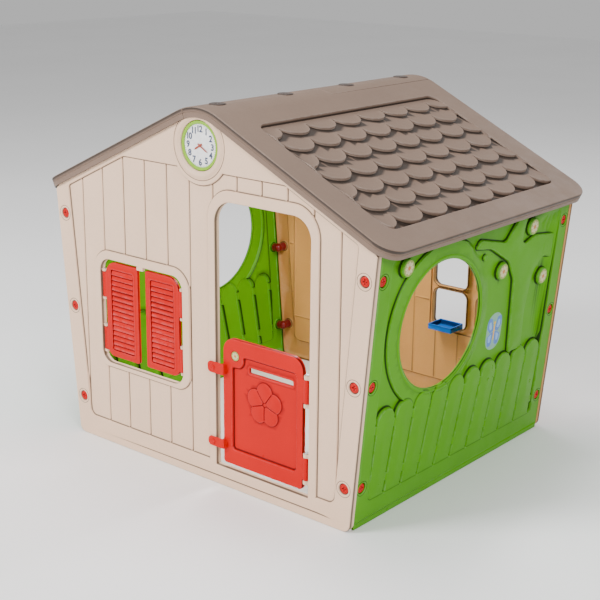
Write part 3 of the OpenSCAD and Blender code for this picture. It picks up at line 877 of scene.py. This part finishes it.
# ---- side walls
SIDE = box_shape(-SIDE_END, 0, SIDE_END, SIDE_TOP, 4)
SIDE_PANEL = box_shape(-455, 75, 461, 800, 15)
SUNK = -16.0
RAISED = -5.0
BAND = -6.5
BAND_W = 57.0
OVAL = (-165.0, 547.0, 213.0, 195.0, math.radians(-34))
TREE = [
    (255, 345, 6), (332, 345, 6), (322, 470, 60), (338, 600, 60), (392, 645, 30), (447, 633, 4),
    (447, 712, 4), (325, 728, 90), (238, 700, 25), (262, 803, 0), (214, 803, 0), (150, 736, 30),
    (0, 772, 20), (-20, 745, 6), (68, 730, 60), (182, 667, 60), (227, 600, 60)]
BOSSES = ((-376, 765), (146, 645), (302, 760), (406, 575))
BOSS_R = 28.0
BUMP = (42, 708, 9)
PICKETS = 10
PICKET_PITCH = 90.8
RAILS = ((110, 136), (279, 307))
SIDE_STEP = 6.5


def groove_x(i, z):
    """Where the gap left of picket i is at height z: the pickets lean, those in the middle most."""
    slope = math.radians(3 + 6.5 * math.sin(math.pi * i / PICKETS))
    return -448 + PICKET_PITCH * i + (z - 307) * math.tan(slope)


def picket(i):
    return [(groove_x(i, 66) + 4, 66, 0), (groove_x(i + 1, 66) - 4, 66, 0),
            (groove_x(i + 1, 350) - 4, 350, 40), (groove_x(i, 350) + 4, 350, 40)]


class SideWall:
    """The height fields and guides of a side wall, seen from outside."""

    def __init__(self):
        self.border = Zone(SIDE)
        self.panel = Zone(SIDE_PANEL)
        self.window = Zone(oval=OVAL)
        self.band = Zone(oval=(*OVAL[:2], OVAL[2] + BAND_W, OVAL[3] + BAND_W, OVAL[4]))
        self.tree = Zone(TREE)
        self.pickets = [Zone(picket(i)) for i in range(PICKETS)]

    def relief(self, p, sharp):
        """The moulded levels, with steps of width sharp."""
        # The panel's far side rises in one long slope
        far = np.clip((p[:, 1] - 330) / 50, 0, 1) * np.clip((p[:, 0] - 300) / 60, 0, 1)
        panel = self.panel.far(p, FAR)
        h = SUNK * soft(panel + far * 24, sharp + 48 * far)
        # The band round the window fades out towards the tree
        fade = np.clip((p[:, 0] + 70) / 110, 0, 1)
        band = soft(self.band.far(p) + fade * 24, sharp + fade * 48)
        h = np.maximum(h, mix(h, BAND, band * soft(panel, sharp)))
        for low, high in RAILS:
            rail = soft(np.abs(p[:, 1] - (low + high) / 2) - (high - low) / 2, 4.0) * (np.abs(p[:, 0]) < 470)
            h = np.maximum(h, mix(h, -5.5, rail))
        tree = self.tree.far(p)
        h = np.maximum(h, mix(h, RAISED + 2.0 * np.clip(-tree / 30, 0, 1), soft(tree, sharp)))
        for z in self.pickets:
            d = z.far(p)
            h = np.maximum(h, mix(h, -2.0 + 2.0 * np.clip(-d / 40, 0, 1), soft(d, sharp)))
        for x, z in BOSSES:
            h = np.maximum(h, mix(h, -1.0, soft(away(p, x, z) - BOSS_R, 5.0)))
        x, z, r = BUMP
        return np.maximum(h, mix(h, -7.0, soft(away(p, x, z) - r, 5.0)))

    def front(self, p):
        h = self.relief(p, SIDE_STEP)
        h -= LINE_DEPTH * groove(p[:, 1] - SIDE_LINE, LINE_W) * soft(np.abs(p[:, 0]) - 505, 8.0)
        h = cap_fronts(h, p, SIDE_CAPS, 22.8, 4.0)
        lip = self.window.far(p)
        h += 2.2 * groove(lip - 9, 13.0)
        return h - rim(np.minimum(-self.border.far(p, FAR), lip), 2.6)

    def back(self, p):
        h = cap_backs(self.relief(p, SIDE_STEP + 3) - SKIN, p, SIDE_CAPS)
        edge = -self.border.far(p, FAR)
        h = mix(h, -12.0, soft(edge - SKIN, 1.6))
        lip = self.window.far(p)
        h = mix(h, BAND - 9, soft(lip - 6, 2.0))
        return h + rim(np.minimum(edge, lip), 1.2)

    def part(self):
        guides = self.border.rings(WALL_STEPS, -1) + self.window.rings((*RIM_STEPS, 5, 7, 9, 11, 13, 15.5))
        for z in (self.panel, self.band, self.tree):
            guides += step_rings(z, SIDE_STEP, (-12,))
        for z in self.pickets:
            guides += step_rings(z, SIDE_STEP, (-9, -18, -30))
        for x, z in BOSSES:
            guides += step_rings(Zone(disc=(x, z, BOSS_R)), 5.0, (-12,))
        guides += step_rings(Zone(disc=BUMP), 5.0)
        guides += cap_guides(SIDE_CAPS, (3.5, 4.5, 5.5, 6.5, 7.5))
        lines = line_guides((-509, SIDE_LINE), (509, SIDE_LINE), LINE_W)
        for rail in RAILS:
            for z in rail:
                lines += line_guides((-455, z), (461, z), 4.0)
        lines += [np.array([(x, 330), (x, 800)]) for x in range(385, 462, 12)]
        sheet = Sheet(rounded(SIDE), [self.window.ring()], self.front, self.back)
        return sheet.part(guides, lines, lattice(self.border, (-SIDE_END, 0), (SIDE_END, SIDE_TOP), 24.0))


def build_sides():
    wall = SideWall().part()
    for side, place in (("right", RIGHT), ("left", LEFT)):
        piece(f"{side}_wall_shell", [wall.placed(*place)], [GREEN], nodes=[f"{side}_wall"])


# ---- roof
FIELD = box_shape(158, -443, 690, 443, 34)
FIELD_DEPTH = 13.0
FASCIA = 31.0
SHINGLE = 123.5
ROW_PITCH = 75.5
FIRST_TIP = 233.0
ROW_LENGTH = 126.0
ROW_RISE = 15.5
ROWS = 7
EAVE_S = EAVE_X / math.cos(PITCH)
TANGENT_S = RIDGE_R * math.tan(PITCH)
RIDGE_S = TANGENT_S - RIDGE_R * PITCH
FLAP_ANGLE = math.radians(18.8)
FLAP_S = RIDGE_S - RIDGE_R * FLAP_ANGLE
RIDGE_CAPS = (-455, -152, 152, 455)
RIDGE_FLAT = 1.7
RIDGE_CAP_R = 25.0
GAP_FILL = -99.0


def roof_place(s, y, h):
    """Distance s down the right half from the ridge line, y along it and h above its top face."""
    angle = PITCH - np.maximum(TANGENT_S - s, 0) / RIDGE_R
    slope = np.maximum(s - TANGENT_S, 0)
    x = (RIDGE_R + h) * np.sin(angle) + slope * math.cos(PITCH)
    z = RIDGE_Z + (RIDGE_R + h) * np.cos(angle) - slope * math.sin(PITCH)
    return np.stack([x, y + 0 * x, z], -1)


def row_shift(i):
    """Every other row starts half a shingle along."""
    return 0.5 if i % 2 == 0 else 0.0


class RoofHalf:
    """The right half. It laps over the ridge in front of the middle and stops short of it behind."""

    def __init__(self):
        d = ROOF_HALF_D
        start, cut = FLAP_S + 0.4, 2 * RIDGE_S - FLAP_S + 1.0
        self.outline = [(start, -d, 0), (EAVE_S, -d, 70), (EAVE_S, d, 70),
                        (cut, d, 0), (cut, -0.4, 0), (start, -0.4, 0)]
        self.border = Zone(self.outline)
        self.fascia = Zone([(start - 200, -d, 0), (EAVE_S, -d, 70), (EAVE_S, d, 70), (start - 200, d, 0)])
        self.field = Zone(FIELD)
        self.tips = [FIRST_TIP + ROW_PITCH * i for i in range(ROWS)]

    def tongue(self, p, i, f):
        """Distance to row i's rounded tongues, which stop just short of the field's wall."""
        radius = SHINGLE / 2
        shift = row_shift(i)
        y = p[:, 1] - (np.round(p[:, 1] / SHINGLE - shift) + shift) * SHINGLE
        x = p[:, 0] - (self.tips[i] - radius)
        return np.maximum(np.minimum(np.hypot(x, y) - radius, x - 12), f + 2.2)

    def front(self, p):
        s = p[:, 0]
        f = self.field.far(p, FAR)
        h = -FIELD_DEPTH * soft(f, 4.0)
        for i in range(ROWS):
            d = self.tongue(p, i, f)
            start = max(self.tips[i] - ROW_LENGTH, FIELD[0][0])
            level = -FIELD_DEPTH + 0.2 + (s - start) / (self.tips[i] + 1 - start) * (ROW_RISE - 0.2)
            level = level + 2.0 * np.clip(1 + (d + 2) / 16, 0, 1) ** 2 - rim(-d, 3.2)
            row = np.where(s > start, mix(-FIELD_DEPTH, level, soft(d, 1.6)), GAP_FILL)
            h = np.maximum(h, np.where(f < 0, row, GAP_FILL))
        angle = (s - RIDGE_S) / RIDGE_R
        flat = (RIDGE_R - RIDGE_FLAT) / np.cos(angle) - RIDGE_R
        for y in RIDGE_CAPS:
            h = mix(h, np.minimum(flat, 0), soft(away(p, RIDGE_S, y) - RIDGE_CAP_R - 2, 2.0))
        return h - rim(-self.border.far(p, FAR), 3.0)

    def back(self, p):
        h = -SKIN - FIELD_DEPTH * soft(self.field.far(p, FAR) - SKIN, 5.0)
        edge = -self.fascia.far(p, FAR)
        return mix(h, -FASCIA + rim(edge, 1.5), soft(edge - SKIN, 1.6))

    def part(self):
        d = ROOF_HALF_D
        guides = self.border.rings(RIM_STEPS, -1) + self.fascia.rings((4.2, 5.8), -1)
        guides += step_rings(self.field, 4.0, (5.0, -1.5, -2.4, -3.2, -5.5))
        lines = []
        radius = SHINGLE / 2
        t = np.radians(np.linspace(-89, 89, 19))
        for i, tip in enumerate(self.tips):
            for j in range(-4, 5):
                centre = (j + row_shift(i)) * SHINGLE
                for off in (-17, -12, -7, -3.2, -2.2, -1.2, -0.4, 0.4, 1.2):
                    r = radius + off
                    arc = np.c_[tip - radius + r * np.cos(t), centre + r * np.sin(t)]
                    arc = arc[np.abs(arc[:, 1]) < FIELD[2][1] - 1]
                    if len(arc) > 1:
                        lines.append(arc)
        lines += [np.array([(s, -d - 2), (s, d + 2)]) for s in np.arange(FLAP_S + 6, 100, 6)]
        for y in RIDGE_CAPS[:2]:
            guides += Zone(disc=(RIDGE_S, y, RIDGE_CAP_R + 2)).rings((-1, 0, 1))
        bead = ((12.8, 0.0), (13.6, -1.2), (15.4, -1.2), (16.2, 0.0))
        sheet = Sheet(rounded(self.outline), [], self.front, self.back, roof_place, bead)
        return sheet.part(guides, lines, lattice(self.border, (FLAP_S, -d), (EAVE_S, d), 32.0))

    def lap(self):
        """The strip under the other half's flap."""
        low, high = RIDGE_S - RIDGE_R * math.radians(11), 105.0
        end = back_low[1] - 1
        shape = rounded(box_shape(low, 1, high, end, 0))
        sheet = Sheet(shape, [], flat_at(-5.4), flat_at(-9.7), roof_place)
        lines = [np.array([(s, 0), (s, end + 1)]) for s in np.arange(low + 6, high, 8)]
        return sheet.part([], lines, [])


def ridge_cap():
    """A low round cap with a rounded rim and a small dimple, on a shank."""
    top = screw_high[2] - (roof_high[2] - RIDGE_FLAT)
    return lathe([(0, -29), (4, -29), (4, 0), (24.4, 0), (24.8, 0.4), (24.8, top - 1.3), (24.2, top - 0.5),
                  (23.0, top - 0.1), (20, top), (9, top), (7.6, top - 0.4), (6.5, top - 1.6),
                  (0, top - 1.8)], 40)


def build_roof():
    half = RoofHalf()
    parts = [half.part(), half.lap()]
    piece("roof_right_shell", parts, [TAUPE], nodes=["roof_right"])
    turned = [p.placed(HALF_TURN) for p in parts]
    piece("roof_left_shell", turned, [TAUPE], nodes=["roof_left"])
    caps = [ridge_cap().moved(0, y, roof_high[2] - RIDGE_FLAT) for y in RIDGE_CAPS]
    piece("ridge_caps", caps, [CAP_BROWN], nodes=["ridge_screws"])


# ---- fixings
CAP_R = 14.8
CROSS_REACH = 7.5
CROSS_HALF = 1.9
BALL_R = 16.6
ARM_R = 15.2


def cap_screw():
    """A domed head with a cross recess, its shank behind it. The head's top is 2 below the wall's face."""
    def head(p):
        r = away(p, 0, 0)
        arms = np.minimum(np.maximum(np.abs(p[:, 0]) - CROSS_REACH, np.abs(p[:, 1]) - CROSS_HALF),
                          np.maximum(np.abs(p[:, 1]) - CROSS_REACH, np.abs(p[:, 0]) - CROSS_HALF))
        h = -2.0 - 1.2 * (r / 15) ** 2 - rim(CAP_R - r, 2.4)
        h = h - 0.5 * groove(r - 10.6, 2.4)
        return mix(h, -5.0, soft(arms, 0.9))

    outline = Zone(disc=(0, 0, CAP_R)).ring()
    rings = [Zone(disc=(0, 0, r)).ring() for r in (14.5, 13.9, 13.1, 12.3, 11.8, 11.2, 10.6, 10.0, 9.4)]
    a, b = CROSS_HALF, CROSS_REACH
    quarter = np.array([(-a, -b, 0), (a, -b, 0), (a, -a, 0)])
    cross = [tuple(v) for k in range(4) for v in quarter @ spin(math.pi / 2 * k).T]
    rings += Zone(cross).rings((-0.45, 0.0, 0.45))
    sheet = Sheet(outline, [], head, flat_at(-7.9))
    return [sheet.part(rings), lathe([(0, -27.9), (4, -27.5), (4, -8.5), (0, -8)], 16)]


def build_screws():
    screw = cap_screw()
    for wall, place, spots in (("front", FRONT, GABLE_CAPS), ("back", BACK, GABLE_CAPS),
                               ("right", RIGHT, SIDE_CAPS), ("left", LEFT, SIDE_CAPS)):
        parts = [p.moved(x, z, 0).placed(*place) for x, z in spots for p in screw]
        piece(f"{wall}_cap_screws", parts, [RED], nodes=[f"{wall}_wall_screws"])


def elbow_arm(low, high):
    """A stub with a low collar at its mouth."""
    collar = ARM_R + 0.7
    return lathe([(0, low), (ARM_R, low), (ARM_R, high - 5), (collar, high - 4), (collar, high - 0.8),
                  (ARM_R - 0.1, high), (0, high)], 32)


def build_elbows():
    arc = [(BALL_R * math.cos(t), BALL_R * math.sin(t)) for t in np.radians(np.linspace(-90, 90, 13))]
    arc[0], arc[-1] = (0, -BALL_R), (0, BALL_R)
    ball = lathe(arc, 32, 60.0)
    front_arm = elbow_arm(0.0, FACE_Y - CAP_Y - 13.4)
    side_arm = elbow_arm(-CAP_IN * math.cos(LEAN), -13.4)
    for storey, z, spot in zip(("top", "mid", "low"), CAP_Z, SIDE_CAPS[::2]):
        centre = (outer(z) - CAP_IN, -CAP_Y, z)
        parts = [ball.moved(*centre), front_arm.placed(FRONT[0], centre),
                 side_arm.moved(*spot, 0).placed(*RIGHT)]
        for x_name, x_sign in (("left", -1), ("right", 1)):
            for y_name, y_sign in (("front", -1), ("back", 1)):
                made = parts
                if x_sign != -y_sign:
                    made = [p.mirrored(0) for p in made]
                if y_sign > 0:
                    made = [p.placed(HALF_TURN) for p in made]
                name = f"{y_name}_{x_name}_{storey}"
                piece(f"elbow_{name}", made, [DARK_RED], nodes=[f"bracket_{name}"])


# ---- door
LEAF = [(83, 76, 10), (393.5, 76, 10), (393.5, 480, 42), (83, 480, 42)]
LEAF_PANEL = [(119, 127, 12), (369.5, 127, 12), (369.5, 430, 12), (163, 430, 8), (163, 391, 26),
              (119, 391, 8)]
LETTER_SLOT = box_shape(184, 386, 350, 401, 4)
DOOR_STICKER = (132, 428)
PETALS = np.array([243.0, 300.0])
DOOR_FRONT = -8.0
LEAF_DEPTH = 8.0
DOOR_BACK = -23.0
STOPS = ((362, 397), (124, 154))


def build_door():
    leaf, panel, slot = Zone(LEAF), Zone(LEAF_PANEL), Zone(LETTER_SLOT)
    petals = [Zone(disc=(PETALS[0] + 38 * math.cos(t), PETALS[1] + 38 * math.sin(t), 30))
              for t in np.radians(90 + 72 * np.arange(5))]
    # Between two petals runs a groove from the flower's middle
    seams = [np.array([math.cos(t), math.sin(t)]) for t in np.radians(126 + 72 * np.arange(5))]

    def front(p):
        h = DOOR_FRONT - LEAF_DEPTH * soft(panel.far(p), 6.0)
        h = h + 1.6 * groove(slot.far(p) - 5, 8.0)
        d = np.minimum.reduce([z.far(p) for z in petals])
        bloom = DOOR_FRONT - 5.0 + 2.6 * np.clip(-d / 26, 0, 1) ** 0.7
        flower = mix(DOOR_FRONT - LEAF_DEPTH, bloom, soft(d, 3.0))
        q = p - PETALS
        for way in seams:
            along, across = q @ way, q @ np.array([-way[1], way[0]])
            flower = flower - 2.6 * groove(across, 6.0) * soft(np.abs(along - 24) - 24, 3.0) * (d < 0)
        h = np.maximum(h, flower)
        h = mix(h, DOOR_FRONT - 1, soft(away(p, *DOOR_STICKER) - 18, 2.0))
        return h - rim(np.minimum(-leaf.far(p, FAR), slot.far(p)), 3.4)

    def back(p):
        edge = np.minimum(-leaf.far(p, FAR), slot.far(p))
        return mix(DOOR_FRONT - LEAF_DEPTH - 3.2, DOOR_BACK, soft(edge - SKIN, 1.6)) + rim(edge, 1.2)

    guides = leaf.rings(WALL_STEPS, -1) + slot.rings((*RIM_STEPS, 4.3, 5.0, 5.8, 8.8))
    guides += step_rings(panel, 6.0, (-6, 6))
    for z in petals:
        guides += step_rings(z, 3.0, (-4, -9, -15))
    lines = [line for way in seams for line in line_guides(PETALS + way, PETALS + 48 * way, 6.0)]
    guides += step_rings(Zone(disc=(*DOOR_STICKER, 18)), 2.0)
    sheet = Sheet(rounded(LEAF), [slot.ring()], front, back)
    parts = [sheet.part(guides, lines, lattice(leaf, (83, 76), (394, 480), 18.0)).placed(*FRONT)]
    parts += barrels(HINGE_X, HINGE_Y, *DOOR_HINGE, (-17, -6.8, -5.5, 6.8), 1.2)
    for low, high in STOPS:
        tab = prism([(31, low, 13), (97, low, 4), (97, high, 4), (31, high, 13)], 1.1, 6, 1.8)
        leg = prism(box_shape(84.5, low + 0.5, 96.5, high - 0.5, 3), DOOR_FRONT - 4, 4, 1.0)
        knob = lathe([(9, 5), (9, 7.2), (8.5, 8.2), (7.4, 8.8), (6, 9), (3.4, 9), (2.6, 8.2), (0, 7.9)], 28)
        parts += [p.placed(*FRONT) for p in (tab, leg, knob.moved(52, (low + high) / 2, 0))]
    piece("door_leaf_shell", parts, [RED], "door_leaf", ["door"])


# ---- shutters
SHUTTER_FRONT = -6.0
SHUTTER_BACK = -17.0
LOUVRES = 16
LOUVRE_PITCH = 16.7
LOUVRE_Z = 327.5


def shutter_parts():
    """The right shutter in the front wall's plane, with x from the window's middle."""
    reach = SHUTTER_HINGE_X - WINDOW_X
    shape = [(17, 304, 8), (reach - 9.5, 304, 30), (reach - 9.5, 622, 45), (17, 622, 8)]
    leaf, field = Zone(shape), Zone(box_shape(39, 326, 141, 596, 6))

    def front(p):
        inside = field.far(p)
        h = SHUTTER_FRONT - 5.0 * soft(inside, 2.4) + 0.8 * groove(inside - 6, 9.0)
        t = (p[:, 1] - LOUVRE_Z) / LOUVRE_PITCH
        t = t - np.floor(t)
        # Each louvre stands out most at its lower edge, which is rounded
        nose = np.clip(t / 0.14, 0, 1)
        slat = 0.9 + 3.5 * (1 - t / 0.91) * np.sqrt(np.maximum(1 - (1 - nose) ** 2, 0))
        slat = np.where(t > 0.91, 0, slat)
        between = (p[:, 1] > LOUVRE_Z) & (p[:, 1] < LOUVRE_Z + LOUVRES * LOUVRE_PITCH)
        h = h + np.where(between, slat, 0) * soft(inside + 2.2, 2.0)
        return h - rim(-leaf.far(p, FAR), 3.2)

    def back(p):
        return SHUTTER_BACK + rim(-leaf.far(p, FAR), 1.5)

    guides = leaf.rings(RIM_STEPS, -1) + step_rings(field, 2.4, (-3.2, 1.8, 4, 6, 8, 10.4))
    lines = []
    for i in range(LOUVRES):
        for t in (0.0, 0.02, 0.05, 0.09, 0.14, 0.5, 0.90, 0.92):
            z = LOUVRE_Z + (i + t) * LOUVRE_PITCH
            lines.append(np.array([(39, z), (141, z)]))
    sheet = Sheet(rounded(shape), [], front, back)
    parts = [sheet.part(guides, lines, lattice(leaf, (17, 304), (165, 622), 16.0)).placed(*FRONT)]
    return parts + barrels(reach, SHUTTER_HINGE_Y, *SHUTTER_HINGE, (-14, -6.8, -4.5, 3.8), 1.0)


def build_shutters():
    parts = [p.moved(WINDOW_X, 0, 0) for p in shutter_parts()]
    piece("right_shutter_shell", parts, [RED], "right_shutter", ["shutter_right"])
    parts = [p.mirrored(WINDOW_X) for p in parts]
    piece("left_shutter_shell", parts, [RED], "left_shutter", ["shutter_left"])


# ---- clock, stickers, tray
def numeral(text, size):
    """A numeral from the built-in font, as a flat part centred on the origin."""
    curve = bpy.data.curves.new("numeral", "FONT")
    for key, value in (("body", text), ("size", size), ("align_x", "CENTER"), ("align_y", "CENTER"),
                       ("extrude", 0.05), ("bevel_depth", 0.55), ("bevel_resolution", 1),
                       ("offset", 0.3), ("space_character", 0.85)):
        setattr(curve, key, value)
    obj = add_object("numeral", curve)
    bpy.context.view_layer.update()
    data = obj.to_mesh()
    verts = np.array([v.co for v in data.vertices])
    faces = [tuple(p.vertices) for p in data.polygons]
    obj.to_mesh_clear()
    bpy.data.objects.remove(obj)
    bpy.data.curves.remove(curve)
    verts -= (verts.min(0) + verts.max(0)) / 2
    return crisp(verts, faces, 30.0, 2)


def hand(length, width, hour, z):
    """A tapered clock hand that points at an hour."""
    neck, w = length * 0.7, width / 2
    shape = [(-9, -w, 1), (neck, -w, 1), (length, 0, 0.3), (neck, w, 1), (-9, w, 1)]
    return prism(shape, z, z + 0.7, 0.2, 2, 3).placed(spin(math.radians(90 - 30 * hour)))


def build_clock():
    bezel = lathe([(63, -9.7), (72.7, -9.7), (72.7, -4.4), (72.2, -3.6), (71.2, -3.1), (69.5, -3.0),
                   (66, -3.2), (64, -3.9), (63.1, -5.2), (63, -7)], 72, 35.0, True, 0)
    face = lathe([(0, -9.7), (63.1, -9.7), (63.1, -7), (0, -7)], 64, 35.0, False, 1)
    parts = [bezel, face]
    tick = prism(box_shape(-0.5, 58.8, 0.5, 61.6, 0), -7, -6.7, 0.1, 1, 2)
    for hour in range(1, 13):
        t = math.radians(90 - 30 * hour)
        parts.append(numeral(str(hour), 26.0).moved(48.5 * math.cos(t), 48.5 * math.sin(t), -6.75))
        parts += [tick.placed(spin(math.radians(30 * hour + 6 * k))) for k in range(5)]
    hub = lathe([(0, -7), (4.4, -7), (4.4, -4.4), (3.6, -3.6), (0, -3.5)], 20, 35.0, False, 3)
    parts += [hand(28, 5.4, 8, -5.9), hand(38, 4.2, 4, -5.0), hub]
    parts = [p.moved(*CLOCK, 0).placed(*FRONT) for p in parts]
    piece("clock", parts, inks("green", "white", "navy", "rust"), nodes=["clock_dial"])


# How far the stickers' two sides lie below the CAD node's top
VINYL_LOW = 0.98
VINYL_HIGH = 0.22


def daisy(radius, low, high):
    """A printed flower: a round backing, eight petals and a centre."""
    middle = (low + high) / 2
    parts = [prism(round_shape(0, 0, radius, 12), low, middle, 0.15, 1, 0)]
    petal = [(radius * x, radius * y, r) for x, y, r in (
        (0.22, -0.06, 0.4), (0.62, -0.24, 2), (0.88, 0, 2), (0.62, 0.24, 2), (0.22, 0.06, 0.4))]
    petal = prism(petal, middle - 0.05, high - 0.15, 0.08, 1, 1)
    parts += [petal.placed(spin(math.pi / 4 * k)) for k in range(8)]
    parts.append(prism(round_shape(0, 0, radius * 0.27), middle - 0.05, high, 0.1, 1, 2))
    return parts


def butterfly(low, high):
    """A printed butterfly on a pale backing, about the origin, 87 wide and 123 high."""
    step = (high - low) / 4
    parts = [prism(box_shape(-43.5, -61.5, 43.5, 61.5, 41), low, low + step, 0.12, 1, 0)]
    upper = [(2, 4, 2), (22, -4, 8), (41, 16, 9), (39, 50, 12), (16, 46, 10)]
    lower = [(2, 0, 2), (9, -46, 9), (30, -50, 9), (38, -16, 9), (22, -5, 5)]
    for wing, lift in ((upper, 9), (lower, -8)):
        made = prism(wing, low + step, low + 2 * step, 0.1, 1, 1)
        spot = [(12 + (x - 12) * 0.5 + 6, z * 0.55 + lift, r * 0.5) for x, z, r in wing]
        small = prism(spot, low + 2 * step, low + 3 * step, 0.1, 1, 2)
        parts += [made, made.mirrored(0), small, small.mirrored(0)]
    trunk = [(-3, -30, 2.5), (3, -30, 2.5), (3.6, 22, 3), (-3.6, 22, 3)]
    return parts + [prism(s, low + 2 * step, high, 0.1, 1, 3) for s in (trunk, round_shape(0, 28, 5.5))]


def build_stickers():
    daisy_inks = inks("cream", "petal", "orange")
    picture_inks = inks("pale", "blue", "sky", "yellow")
    flower = daisy(14.6, DOOR_FRONT - VINYL_LOW, DOOR_FRONT - VINYL_HIGH)
    parts = [p.moved(*DOOR_STICKER, 0).placed(*FRONT) for p in flower]
    piece("door_daisy", parts, daisy_inks, "door_leaf", ["door_flower_sticker"])
    flowers = [p.moved(x, z, 0) for x, z in BOSSES for p in daisy(23.5, -VINYL_LOW, -VINYL_HIGH)]
    picture = [p.moved(162, 440, 0) for p in butterfly(SUNK + 0.02, SUNK + 0.78)]
    for side, place in (("right", RIGHT), ("left", LEFT)):
        made = [p.placed(*place) for p in flowers]
        piece(f"{side}_daisies", made, daisy_inks, nodes=[f"{side}_wall_flower_stickers"])
        made = [p.placed(*place) for p in picture]
        piece(f"{side}_picture", made, picture_inks, nodes=[f"{side}_wall_picture_sticker"])


def build_tray():
    """The blue tray on the back window's sill, seen from above."""
    low, high = tray_low, tray_high
    shape = box_shape(low[0], low[1], high[0], high[1], 3)
    border, hollow = Zone(shape), Zone(inset(shape, 4))

    def front(p):
        h = high[2] - (high[2] - low[2] - 4) * soft(hollow.far(p) + 1, 3.0)
        return h - rim(-border.far(p), 1.4)

    def back(p):
        return low[2] + rim(-border.far(p), 1.4)

    guides = border.rings((0.3, 0.7, 1.3), -1) + hollow.rings((-2.5, -1.7, -1, -0.3, 0.5))
    tray = Sheet(rounded(shape), [], front, back).part(guides, [], lattice(border, low[:2], high[:2], 12.0))
    piece("sill_tray", [tray], [BLUE], nodes=["window_shelf"])


def build_pins():
    for name in ("door_pin_top", "door_pin_bottom", "shutter_left_pins", "shutter_right_pins"):
        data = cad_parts[name].data
        data.materials.clear()
        data.materials.append(STEEL)


# ---- stage, light, camera
def build_stage():
    size = 14.0
    data = bpy.data.meshes.new("floor")
    rim_points = [(x * size, y * size, 0) for x, y in ((-1, -1), (1, -1), (1, 1), (-1, 1))]
    data.from_pydata(rim_points, [], [(0, 1, 2, 3)])
    look = Look("floor_white")
    paint = look.ramp(look.noise(0.8), 0.3, shade(WHITE, 0.90), 0.7, shade(WHITE, 0.93))
    data.materials.append(look.done({"Base Color": paint, "Roughness": 0.75}))
    floor = add_object("floor", data)
    floor.location.z = -0.0005


def lamp(name, place, size, watts):
    """A soft rectangular light that faces the house."""
    data = bpy.data.lights.new(name, "AREA")
    data.shape = "RECTANGLE"
    data.size, data.size_y = size
    data.energy = watts
    obj = add_object(name, data)
    obj.location = place
    obj.rotation_euler = (Vector((0, 0, 0.5)) - Vector(place)).to_track_quat("-Z", "Y").to_euler()
    obj.visible_camera = False


def build_camera():
    data = bpy.data.cameras.new("camera")
    data.lens = 75.8
    data.sensor_width = 36.0
    data.dof.use_dof = False
    obj = add_object("camera", data)
    azimuth, height, roll = (math.radians(a) for a in (39.78, 16.88, 0.61))
    right = Vector((math.cos(azimuth), math.sin(azimuth), 0))
    level_back = Vector((math.sin(azimuth), -math.cos(azimuth), 0))
    back = math.cos(height) * level_back + Vector((0, 0, math.sin(height)))
    up = back.cross(right)
    side = math.cos(roll) * right + math.sin(roll) * up
    top = -math.sin(roll) * right + math.cos(roll) * up
    turn = Matrix((side, top, back)).transposed()
    obj.matrix_world = Matrix.Translation((2.539, -3.120, 1.677)) @ turn.to_4x4()
    bpy.context.scene.camera = obj


def build_light():
    lamp("key", (-2.4, -4.6, 3.8), (2.0, 2.0), 360)
    lamp("fill", (4.2, -3.0, 3.8), (1.8, 1.8), 190)
    lamp("top", (-0.8, 0.4, 5.2), (2.4, 2.4), 130)
    lamp("rim", (1.0, 5.0, 3.4), (3.5, 2.5), 60)
    lamp("inside", (0.0, 0.0, 0.96), (0.25, 0.7), 13)
    world = bpy.data.worlds.new("world")
    world.use_nodes = True
    background = world.node_tree.nodes["Background"]
    background.inputs["Color"].default_value = (1, 1, 1, 1)
    background.inputs["Strength"].default_value = 0.55
    bpy.context.scene.world = world


build_gables()
build_sides()
build_roof()
build_screws()
build_elbows()
build_door()
build_shutters()
build_clock()
build_stickers()
build_tray()
build_pins()
build_stage()
build_light()
build_camera()
